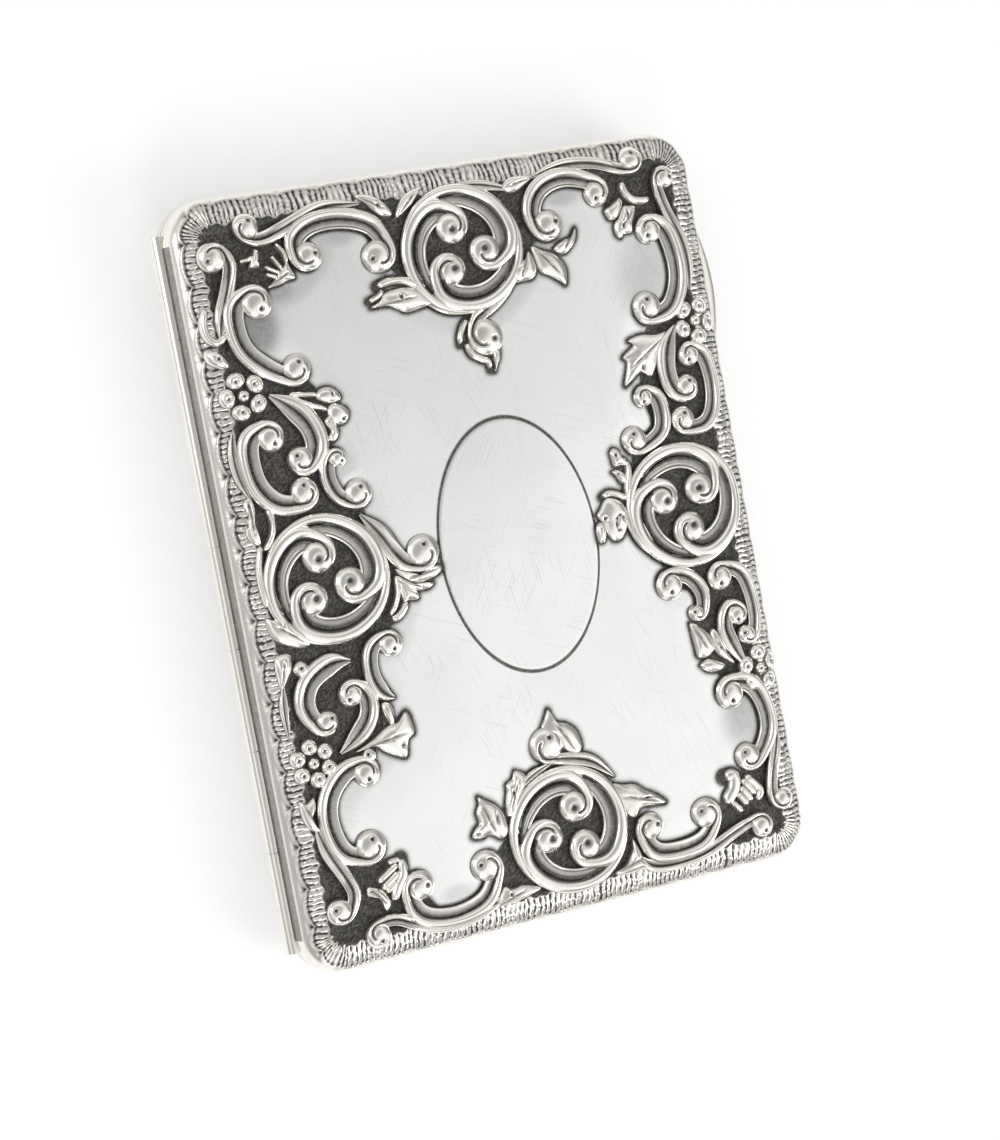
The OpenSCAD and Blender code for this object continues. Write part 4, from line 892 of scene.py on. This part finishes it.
def insideField(x, y):
    # signed distance to the field's edge, positive inside the polished field
    p = smoothLine(np.array(fieldEdge + fieldEdge[:1], float), 3)
    flat = np.stack([x.ravel(), y.ravel()], -1)
    a, b = p[:-1], p[1:]
    near = np.full(len(flat), 1e9)
    inside = np.zeros(len(flat), bool)
    for (ax, ay), (bx, by) in zip(a, b):
        dx, dy = bx - ax, by - ay
        t = np.clip(((flat[:, 0] - ax) * dx + (flat[:, 1] - ay) * dy) / (dx * dx + dy * dy + 1e-12), 0, 1)
        near = np.minimum(near, np.hypot(flat[:, 0] - ax - t * dx, flat[:, 1] - ay - t * dy))
        crosses = (ay > flat[:, 1]) != (by > flat[:, 1])
        inside ^= crosses & (flat[:, 0] < ax + (flat[:, 1] - ay) * dx / (dy if dy else 1e-12))
    return np.where(inside, near, -near).reshape(x.shape)


# soft darkening in the field's hollows beside the ornament: painted shade where the field dips, with some
# tarnish; place, half sizes and strength
shadeAndTarnish = [(-29.8, 34.4, 3.2, 4.4, 0.6), (-26, 38.6, 2.4, 1.8, 0.42), (27.6, 32.2, 5.4, 6.2, 0.26),
           (30.4, -31.2, 4.2, 4.8, 0.4), (-16, 44.6, 2.6, 1.5, 0.26), (16.6, 45.2, 2.4, 1.5, 0.24),
           (-16.8, -45, 2.4, 1.2, 0.22)]
panel = dict(front=(244, 338), back=(120, 160), line=0.42)  # points across and up, half of the dark line at the ornament's foot (patina with painted shade)


def makeFrontPanel():
    # flat panel inside the rounded edge: a polished field, and a lower dark ground under the scrolls
    w, h = case["halfW"] - case["panelIn"], case["halfH"] - case["panelIn"]
    x, y = np.meshgrid(np.linspace(-w, w, panel["front"][0]), np.linspace(-h, h, panel["front"][1]),
                       indexing="ij")
    field = insideField(x - ornamentX, y)
    gap = nearestLine(x - ornamentX, y)
    ground = 1 - smoothStep(-0.4, 0.4, field)
    sunk = 1 - 0.45 * smoothStep(-0.6, 3.4, field) - 0.55 * smoothStep(-0.8, 0.2, field)
    z = frontLevel(x, y) - relief["recess"] * sunk
    z = z - 0.25 * (1 - smoothStep(4.1, 4.7, edgeGap(x, y)))
    e = np.hypot((x - oval["x"]) / oval["a"], (y - oval["y"]) / oval["b"])
    z = z + oval["rise"] * (1 - smoothStep(0.98, 1.0, e)) + oval["swell"] * np.clip(1 - e * e, 0, 1)
    # the dark line round the foot of every band, leaf and bar is patina with painted shade where they meet
    # the field
    line = np.exp(-(np.maximum(gap, 0) / panel["line"]) ** 2)
    dark = np.maximum(ground, 0.95 * line * (field > -1))
    for sx, sy, rx, ry, much in shadeAndTarnish:
        off = ((x - ornamentX - sx) / rx) ** 2 + ((y - sy) / ry) ** 2
        dark = np.maximum(dark, much * np.exp(-off ** 2.2))
    face = Sheet().add(np.stack([x, y, z], -1), dark)
    face.make("frontPanel", "front", frontSilver, "silver", ["front_cover"])


lip = dict(y=30, length=17, out=1.5, low=6.0, high=7.5)


def makeThumbLip():
    # lens with a rounded rim: half width follows a circle's arc, thickness a half ellipse
    r = (lip["length"] ** 2 / 4 + lip["out"] ** 2) / (2 * lip["out"])
    t = np.linspace(-1, 1, 61)
    y = lip["y"] + t * lip["length"] / 2
    reach = np.sqrt(r ** 2 - (t * lip["length"] / 2) ** 2) - (r - lip["out"])
    a = np.linspace(-math.pi / 2, math.pi / 2, 17)
    base = case["halfW"] - 0.3
    x = base + (reach[:, None] + 0.3) * np.cos(a)[None, :] ** 0.7
    mid, thick = (lip["low"] + lip["high"]) / 2, (lip["high"] - lip["low"]) / 2
    z = mid + thick * np.sin(a)[None, :] * np.ones_like(x)
    yy = np.broadcast_to(y[:, None], x.shape)
    Sheet().add(np.stack([x, yy, z], -1), flip=True).make("thumbLip", "front", silver, "silver")


def makeCovers():
    frontD, half = case["frontZ"] - case["meetZ"], ribs["count"] // 2
    around = np.arange(ribs["count"] + 1) % ribs["count"]
    for name, part in (("frontEdgeRight", around[:half + 1]), ("frontEdgeLeft", around[half:])):
        Sheet().add(*ribbedEdge(1, frontD, part)).make(name, "front", silver, "silver")
    inside = Sheet().add(coverInside(1, frontD), closeU=True, flip=True)
    inside.make("frontInside", "front", silver, "silver")
    edge, dark = ribbedEdge(-1, case["meetZ"], around[:-1:2])
    rim = Sheet().add(edge, dark * 0.8, closeU=True, flip=True)
    rim.make("backEdge", "back", silver, "silver", ["back_cover"])
    Sheet().add(coverInside(-1, case["meetZ"]), closeU=True).make("backInside", "back", silver, "silver")
    w, h = case["halfW"] - case["panelIn"], case["halfH"] - case["panelIn"]
    x, y = np.meshgrid(np.linspace(-w, w, panel["back"][0]), np.linspace(-h, h, panel["back"][1]),
                       indexing="ij")
    z = crownFall(edgeGap(x, y)) + 0.2 * (1 - smoothStep(4.1, 4.6, edgeGap(x, y)))
    Sheet().add(np.stack([x, y, z], -1), flip=True).make("backPanel", "back", silver, "silver")


makeFrontPanel()
print("stage: front panel")
makeBands("scrollwork", lines, 0.0)
makeBands("whorlwork", arms, 1.0)
makeCurls()
makeLeaves()
print("stage: ornament")
makeCovers()
makeThumbLip()
print("stage: covers")


# Soft and small pieces inside
def roundOff(d, r):  # 0 at the edge, 1 from r inwards, along a quarter circle
    k = np.clip(1 - d / r, 0, 1)
    return np.sqrt(1 - k * k)


def spread(low, high, r, count):  # places from low to high, close together within r of both ends
    k = (1 - np.cos(np.linspace(0, math.pi / 2, 7))) * r
    return np.concatenate([low + k[:-1], np.linspace(low + r, high - r, count), high - k[-2::-1]])


def slab(low, high, r, count=(40, 60), puff=None, under=None):
    # closed slab with round edges: both faces stand off its middle by the round-off in x times that in y
    x, y = spread(low[0], high[0], r, count[0]), spread(low[1], high[1], r, count[1])
    yy, xx = np.meshgrid(y, x, indexing="ij")
    gapX, gapY = np.minimum(xx - low[0], high[0] - xx), np.minimum(yy - low[1], high[1] - yy)
    edge = roundOff(gapX, r) * roundOff(gapY, r)
    mid, half = (low[2] + high[2]) / 2, (high[2] - low[2]) / 2
    top = mid + half * edge + (puff(xx, yy) * edge if puff else 0)
    bottom = mid - half * edge + (under(xx, yy) * edge if under else 0)
    upper = np.stack([xx, yy, top], -1)
    lower = np.stack([xx, yy, bottom], -1)[:, -2:0:-1]
    return np.concatenate([upper, lower], 1)


def strip(path, thick, ends, axis, count=24):
    # flat strip whose path lies across an axis: thickness stands both sides of it, rounded at its ends
    path = evenly(np.array(path, float), 90)
    way = np.gradient(path, axis=0)
    way /= np.linalg.norm(way, axis=1)[:, None]
    out = np.stack([-way[:, 1], way[:, 0]], -1) * thick / 2
    run = np.concatenate([[0], np.cumsum(np.hypot(*np.diff(path, axis=0).T))])
    along = spread(*ends, thick / 2, count)
    ending = roundOff(np.minimum(run, run[-1] - run), thick / 2)[None, :]
    siding = roundOff(np.minimum(along - ends[0], ends[1] - along), thick / 2)[:, None]
    soft = ending * siding
    one = path[None] + out[None] * soft[..., None]
    two = (path[None] - out[None] * soft[..., None])[:, -2:0:-1]
    flat = np.concatenate([one, two], 1)
    far = np.broadcast_to(along[:, None], flat.shape[:2])
    parts = (far, flat[..., 0], flat[..., 1]) if axis == "x" else (flat[..., 0], far, flat[..., 1])
    return np.stack(parts, -1)


def lathe(profile, x, z, per=8, around=48):
    # outline of radius and place along y, cut finely between its points and turned about a line
    # through x and z
    points = np.array(profile, float)
    cuts = [np.linspace(a, b, per, endpoint=False) for a, b in zip(points[:-1], points[1:])]
    fine = np.concatenate(cuts + [points[-1:]])
    a = np.linspace(0, 2 * math.pi, around, endpoint=False)
    r, y = fine[:, :1], np.repeat(fine[:, 1:], around, axis=1)
    return np.stack([x + r * np.cos(a), y, z + r * np.sin(a)], -1)


def silkMaterial(name, base, light, scale=1.0):
    # watered silk: fine ribs across, whose shine wanders in long wavy bands
    s = Shader(name)
    x, y, z = s.xyz()
    warp = s.noise(s.scaled((110 * scale, 26 * scale, 60)), 1.0, 2) - 0.5
    rib = ((y * 9000 * scale) + warp * 30).sin()
    water = ((x * 1150 * scale) + warp * 26 + (s.noise(s.scaled((60, 320, 60)), 1.0, 2) - 0.5) * 3).sin()
    moire = (water * 0.5 + 0.5).step(0.05, 1.0) * (0.3 + s.noise(s.place(), 55 * scale, 2) * 0.6)
    thread = s.noise(s.scaled((900, 6000, 900)), 1.0, 2)
    s.set(Base_Color=s.mix((moire * 0.7 + (thread - 0.5) * 0.35).clip(), base, light))
    s.set(Roughness=0.5 - moire * 0.12, Sheen_Weight=0.1, Specular_IOR_Level=0.25)
    s.set(Normal=s.bump(rib * 0.5 + thread * 0.5 + moire * 0.3, 0.3, 0.00005))
    return s.material


def grainMaterial(name, base, dark, scale, rough, coat=0.0, bump=0.5, depth=0.00006):
    # pebbled skin with darker hollows and a worn, uneven shine
    s = Shader(name)
    inputs = {"Vector": s.place(), "Scale": scale}
    cell = s.node("ShaderNodeTexVoronoi", dict(feature="DISTANCE_TO_EDGE"), inputs)
    pores = cell.step(0.0, 0.18)
    broad = s.noise(s.place(), scale * 0.12, 3)
    s.set(Base_Color=s.mix(pores * 0.6 + broad.step(0.3, 0.75) * 0.4, dark, base))
    s.set(Roughness=rough + (broad - 0.5) * 0.2 - pores * 0.06, Coat_Weight=coat, Specular_IOR_Level=0.3)
    s.set(Normal=s.bump(pores + s.noise(s.place(), scale * 3, 2) * 0.3, bump, depth))
    return s.material


def paperMaterial(name, base, dark, node, leaf=0.0):
    # fibres and a faint tint; with leaf set, the sides show the edges of the sheets, with painted shade in
    # the gaps between them
    s = Shader(name)
    x, y, z = s.xyz()
    fibre = s.noise(s.scaled((900, 2400, 900)), 1.0, 4)
    cloud = s.noise(s.place(), 90, 3)
    height = fibre * 0.6
    tone = cloud.step(0.35, 0.75) * 0.5 + (fibre - 0.5) * 0.5
    if leaf:
        low, high = nodeBox(node) * np.array([[mm], [mm]])
        mid, half = (low + high) / 2, (high - low) / 2 - 0.00008
        sides = [(v - m).abs().step(h, h + 0.00006) for v, m, h in zip((x, y), mid, half)]
        side = (sides[0] + sides[1]).clip()
        wander = (s.noise(s.scaled((25, 25, 5)), 1.0, 2) - 0.5) * 3
        line = ((z / leaf) * 6.283 + wander).sin() * 0.5 + 0.5
        # painted shade in the gaps between the sheets on the sides
        tone = tone + (1 - line) * side * 0.8
        height = height + line * side * 2
    s.set(Base_Color=s.mix(tone.clip(), base, dark), Roughness=0.85)
    s.set(Normal=s.bump(height, 0.25, 0.00006))
    return s.material


def woodMaterial(name, base, dark):
    # streaks drawn out along the grain
    s = Shader(name)
    grain = s.noise(s.scaled((2600, 160, 2600)), 1.0, 3)
    s.set(Base_Color=s.mix(grain.step(0.3, 0.7), base, dark), Roughness=0.6 + (grain - 0.5) * 0.2)
    s.set(Normal=s.bump(grain, 0.4, 0.00004))
    return s.material


def lacquerMaterial(name, base, worn):
    # smooth varnish with fine rubbed rings and a paler, duller rubbed patch here and there
    s = Shader(name)
    rub = s.noise(s.scaled((300, 9000, 300)), 1.0, 2)
    patch = s.noise(s.place(), 160, 3).step(0.52, 0.75)
    s.set(Base_Color=s.mix((patch * 0.5 + (rub - 0.5) * 0.3).clip(), base, worn))
    s.set(Roughness=0.24 + patch * 0.2 + (rub - 0.5) * 0.1)
    s.set(Coat_Weight=0.5 - patch * 0.4, Coat_Roughness=0.12)
    s.set(Normal=s.bump(rub, 0.15, 0.00003))
    return s.material


def weaveMaterial(name, base, light, pitch):
    # over and under of threads along and across
    s = Shader(name)
    x, y, z = s.xyz()
    a, b = (x * (6.283 / pitch)).sin(), (y * (6.283 / pitch)).sin()
    weave = a * b * 0.5 + 0.5
    wear = s.noise(s.place(), 120, 3)
    s.set(Base_Color=s.mix(weave * 0.5 + wear.step(0.4, 0.8) * 0.35, base, light), Roughness=0.8)
    s.set(Normal=s.bump(weave + wear * 0.3, 0.5, 0.00005))
    return s.material


silk = silkMaterial("wateredSilk", (0.06, 0.075, 0.175, 1), (0.17, 0.2, 0.37, 1))
ribbonSilk = silkMaterial("ribbonSilk", (0.18, 0.2, 0.34, 1), (0.36, 0.38, 0.54, 1), 2.0)
leather = grainMaterial("leather", (0.125, 0.078, 0.1, 1), (0.05, 0.03, 0.042, 1), 1500, 0.5)
paper = paperMaterial("notePaper", (0.8, 0.76, 0.66, 1), (0.66, 0.6, 0.48, 1), "notepad_leaves", 0.00022)
board = paperMaterial("padBoard", (0.47, 0.35, 0.22, 1), (0.33, 0.23, 0.13, 1), "notepad_board")
wood = woodMaterial("pencilWood", (0.56, 0.36, 0.2, 1), (0.38, 0.22, 0.11, 1))
lacquer = lacquerMaterial("lacquer", (0.014, 0.013, 0.014, 1), (0.05, 0.046, 0.044, 1))
graphite = grainMaterial("graphite", (0.09, 0.09, 0.095, 1), (0.035, 0.035, 0.038, 1), 6000, 0.38)
thread = weaveMaterial("sewingThread", (0.17, 0.2, 0.36, 1), (0.36, 0.4, 0.56, 1), 0.0003)
tapeCloth = weaveMaterial("tapeCloth", (0.02, 0.025, 0.06, 1), (0.06, 0.07, 0.14, 1), 0.0006)


def closed(pts, patinaAndShade=0.0, flip=False):  # a grid whose last column joins its first
    return Sheet().add(pts, patinaAndShade, closeV=True, flip=flip)


lining = dict(edge=0.35, hem=0.1, hemIn=1.6, wave=0.03)
pocket = dict(edge=0.2, ease=0.12, seam=0.1, hem=0.08, hemIn=3.1)
ribbon = dict(edge=0.07, rise=0.12)
stitch = dict(pitch=1.7, length=1.15, half=0.13, inset=1.1, high=0.09, sunk=0.02, mouth=0.8)


def stretched(name, body, node, grid):  # silk that stands for a node
    piece = closed(grid).make(name, body, silk, "silk", [node])


def makeLinings():
    for name, body, node, rests in (("backLining", "back", "back_lining", "back_cover"),
                                    ("frontLining", "front", "front_lining", "front_cover")):
        low, high = nodeBox(node)

        def puff(x, y, low=low, high=high):  # soft hem round the edge and a faint waviness
            edge = np.minimum(np.minimum(x - low[0], high[0] - x), np.minimum(y - low[1], high[1] - y))
            hem = lining["hem"] * np.exp(-((edge - lining["hemIn"]) / 0.35) ** 2)
            return lining["wave"] * np.sin(x * 0.5) * np.sin(y * 0.37) - hem

        face = dict(puff=puff) if body == "back" else dict(under=lambda x, y, f=puff: -f(x, y))
        stretched(name, body, node, slab(low, high, lining["edge"], (90, 120), **face))


def makePockets():
    for name, node, rests in (("largePocket", "front_pocket", "frontLining"),
                              ("stampPocket", "stamp_pocket", "largePocket")):
        low, high = nodeBox(node)

        def sag(x, y, low=low, high=high):  # hem along the mouth, sewn edges, and the cloth easing outwards
            u, v = (x - low[0]) / (high[0] - low[0]), (y - low[1]) / (high[1] - low[1])
            ease = pocket["ease"] * np.sin(math.pi * u) * np.clip(v, 0, 1) ** 0.7
            sewn = np.minimum(np.minimum(x - low[0], high[0] - x), y - low[1])
            seam = pocket["seam"] * np.exp(-((sewn - stitch["inset"]) / 0.25) ** 2)
            hem = pocket["hem"] * np.exp(-((high[1] - y - pocket["hemIn"]) / 0.25) ** 2)
            return -ease + seam + hem

        stretched(name, "front", node, slab(low, high, pocket["edge"], (80, 80), under=sag))
    low, high = nodeBox("pocket_ribbon")
    low[2] -= ribbon["rise"]
    strand = closed(slab(low, high, ribbon["edge"], (90, 16)))
    strand.make("pocketRibbon", "front", ribbonSilk, "ribbon", ["pocket_ribbon"])


tape = dict(thick=0.15)


def makePad():
    low, high = nodeBox("notepad_board")
    closed(slab(low, high, 0.15)).make("padBoard", "back", board, "board", ["notepad_board"])
    low, high = nodeBox("notepad_leaves")

    def wavy(x, y):  # the top leaf lies a little low and wavy
        return -0.05 + 0.04 * np.sin(0.11 * x + 0.3) * np.sin(0.07 * y)

    block = closed(slab(low, high, 0.06, (60, 90), puff=wavy))
    block.make("padLeaves", "back", paper, "paper", ["notepad_leaves"])
    low, high = nodeBox("notepad_tape")
    t, end, top = tape["thick"] / 2, high[1], high[2]
    path = [(end - t, low[2]), (end - t, top - 0.3), (end - 0.15, top - 0.12), (end - 0.35, top - t),
            (low[1], top - t)]
    cloth = closed(strip(path, tape["thick"], (low[0], high[0]), "x", 60), flip=True)
    cloth.make("padTape", "back", tapeCloth, "tape", ["notepad_tape"])


strap = dict(thick=0.3, foot=3.0)
loop = dict(thick=0.4, length=6.0)


def makeLeather():
    low, high = nodeBox("pad_strap")
    t, left = strap["thick"] / 2, low[0] + strap["foot"]
    top, floor = high[2] - t, low[2] + t
    half = [(low[0], floor), (left - 0.7, floor), (left - t, floor + 0.5), (left - t + 0.05, top - 0.5),
            (left + 0.5, top)]
    other = [(low[0] + high[0] - x, z) for x, z in half[::-1]]
    path = smoothLine(np.array(half + other), 6)
    piece = closed(strip(path, strap["thick"], (low[1], high[1]), "y", 40))
    piece.make("padStrap", "back", leather, "leather", ["pad_strap"])
    low, high = nodeBox("pencil_loops")
    wide, t = (high[0] - low[0]) / 2, loop["thick"] / 2
    mid, turn = (low[0] + high[0]) / 2, high[2] - wide
    a = np.linspace(math.pi, 0, 25)
    arch = [(mid + (wide - t) * math.cos(k), turn + (wide - t) * math.sin(k)) for k in a]
    path = [(low[0] + t, low[2])] + arch + [(high[0] - t, low[2])]
    loops = Sheet()
    for start in (low[1], high[1] - loop["length"]):
        loops.add(strip(path, loop["thick"], (start, start + loop["length"]), "y", 30), closeV=True)
    loops.make("pencilLoops", "back", leather, "leather", ["pencil_loops"])


pencil = dict(cone=5.0, bead=0.09)
beadShape = [(-0.24, 0), (-0.13, 0.8), (0, 1), (0.13, 0.8), (0.24, 0)]  # place along it, share of its height
# shares of the finial's radius and height
knobShape = [(0.59, 0), (0.56, 0.2), (0.97, 0.45), (0.97, 0.58), (0.7, 0.85), (0.25, 0.985), (0, 1)]


def makePencil():
    low, high = nodeBox("pencil_barrel")
    r, x, z = (high[0] - low[0]) / 2, (low[0] + high[0]) / 2, (low[2] + high[2]) / 2

    def turned(name, profile, per, material, slot, replaces=()):
        closed(lathe(profile, x, z, per)).make(name, "pencil", material, slot, replaces)

    leadLow, leadHigh = nodeBox("pencil_lead")
    leadR, shoulder, end = (leadHigh[0] - leadLow[0]) / 2, low[1] + pencil["cone"], high[1]
    coat = [(r - 0.06, shoulder + 0.02), (r, shoulder + 0.1), (r, (shoulder + end) / 2), (r, end), (0, end)]
    turned("pencilBarrel", coat, 14, lacquer, "pencil", ["pencil_barrel"])
    tip, cut = low[1], shoulder + 0.05
    turned("pencilCone", [(0, tip + 0.05), (leadR, tip), (r - 0.02, cut), (0, cut)], 16, wood, "pencil")
    lead = [(0, leadLow[1]), (0.09, leadLow[1] + 0.02), (leadR, tip), (leadR, tip + 0.1), (0, tip + 0.2)]
    turned("pencilLead", lead, 8, graphite, "lead", ["pencil_lead"])
    low, high = nodeBox("pencil_collar")
    b, r, tall = pencil["bead"], r - pencil["bead"], high[1] - low[1]
    rings = [(0, low[1]), (r, low[1])]
    for at in (0.4, 1.0, tall - 1.0, tall - 0.4):  # two raised beads at each end
        rings += [(r + b * rise, low[1] + at + along) for along, rise in beadShape]
    collar = lathe(rings + [(r, high[1]), (0, high[1])], x, z)
    off = np.hypot(collar[..., 0] - x, collar[..., 2] - z)
    dull = 0.3 * (1 - smoothStep(0, b * 0.5, off - r))  # tarnish between the beads
    closed(collar, dull).make("pencilCollar", "pencil", silver, "silver", ["pencil_collar"])
    low, high = nodeBox("pencil_finial")
    r, tall = (high[0] - low[0]) / 2, high[1] - low[1]
    knob = smoothLine(np.array([(across * r, low[1] + up * tall) for across, up in knobShape]), 5)
    turned("pencilFinial", [(0, low[1]), *map(tuple, knob)], 2, silver, "silver", ["pencil_finial"])


def bead(mid, way, z):
    # drawn-out round bead: half width follows the root of 1 - t^4 along it
    t = np.linspace(-1, 1, 9)
    a = np.linspace(0, 2 * math.pi, 8, endpoint=False)
    share = np.sqrt(1 - t ** 4)[:, None]
    side = stitch["half"] * share * np.cos(a)[None, :]
    x = mid[0] + way[0] * t[:, None] * stitch["length"] / 2 - way[1] * side
    y = mid[1] + way[1] * t[:, None] * stitch["length"] / 2 + way[0] * side
    return np.stack([x, y, z - stitch["high"] * share * np.sin(a)[None, :]], -1)


def makeStitches():
    # rows of short threads along the sewn sides of both pockets
    sheet = Sheet()
    i = stitch["inset"]
    for node in ("front_pocket", "stamp_pocket"):
        low, high = nodeBox(node)
        left, right, foot, top = low[0] + i, high[0] - i, low[1] + i, high[1] - stitch["mouth"]
        corners = np.array([(left, top), (left, foot), (right, foot), (right, top)])
        for a, b in zip(corners[:-1], corners[1:]):
            length = np.hypot(*(b - a))
            count, way = int(length / stitch["pitch"]), (b - a) / length
            for k in range(count):
                mid = a + way * (k + 0.5) * length / count
                sheet.add(bead(mid, way, low[2] + stitch["sunk"]), closeV=True, flip=True)
    sheet.make("pocketStitches", "front", thread, "silk")


makeLinings()
makePockets()
makePad()
makeLeather()
makePencil()
makeStitches()
print("stage: inside")
for name in ("back_knuckles", "front_knuckles", "hinge_pin", "bezel", "bezel_pips", "front_joint_bearer",
             "back_joint_bearer", "notepad_staples"):
    frame["nodes"][name].material_slots[0].material = silver


# Floor, light and air
stage = dict(lift=0.32, low=0.22, high=0.94, slant=2.4, least=0.45, left=0.2, back=0.34,
             floorHalf=30, floorZ=-0.0002)
lamps = [  # name, place, size and power; all aim at the case
    ("right", (0.8, -0.6, 0.55), 0.6, 4.6),
    ("left", (-0.8, 0.3, 0.45), 0.4, 1.5),
    ("front", (-0.2, -0.9, 0.5), 0.4, 2.2),
]


def makeStage():
    s = Shader("paperFloor")
    kinds = ("Is Camera Ray", "Is Glossy Ray", "Is Transmission Ray")
    rays = [s.node("ShaderNodeLightPath", out=kind) for kind in kinds]
    seen = (rays[0] + rays[1] + rays[2]).clip() * stage["lift"]
    s.set(Base_Color=(0.74, 0.74, 0.74, 1), Roughness=0.9, Emission_Strength=1.0)
    s.set(Emission_Color=s.node("ShaderNodeCombineColor", {}, [seen, seen, seen]))
    mesh = bpy.data.meshes.new("floor")
    half, low = stage["floorHalf"], stage["floorZ"]
    corners = [(x * half, y * half, low) for x, y in ((-1, -1), (1, -1), (1, 1), (-1, 1))]
    mesh.from_pydata(corners, [], [(0, 1, 2, 3)])
    mesh.materials.append(s.material)
    floor = bpy.data.objects.new("floor", mesh)
    scene.collection.objects.link(floor)


def makeLight():
    for name, place, size, power in lamps:
        data = bpy.data.lights.new(name, "AREA")
        data.size = size
        data.energy = power
        obj = bpy.data.objects.new(name, data)
        turn = (-Vector(place)).to_track_quat("-Z", "Y")
        obj.matrix_world = Matrix.Translation(place) @ turn.to_matrix().to_4x4()
        scene.collection.objects.link(obj)
    scene.world = bpy.data.worlds.new("room")
    s = Shader("room", scene.world, "Background")
    way = s.node("ShaderNodeTexCoord", out="Generated")
    parts = s.node("ShaderNodeSeparateXYZ", {}, [way])
    x, y, z = [Sock(s, parts.out.node.outputs[i]) for i in range(3)]
    # darker low down, light above, on the left and at the back; overhead it brightens to the right
    # and front
    ceiling = (z.step(0.3, 0.75) * (stage["high"] - stage["low"]) + stage["low"]
               + (-1 * x).step(0.4, 0.9) * stage["left"] + y.step(0.4, 0.9) * stage["back"])
    overhead = z.step(0.72, 0.92) * stage["slant"]
    slant = (1 + (x * 0.6 - y * 0.8 - 0.26) * overhead).math("MAXIMUM", stage["least"])
    light = (ceiling * slant).clip()
    s.set(Color=s.node("ShaderNodeCombineColor", {}, [light, light, light]), Strength=1.0)


makeStage()
makeLight()
print("stage: done")
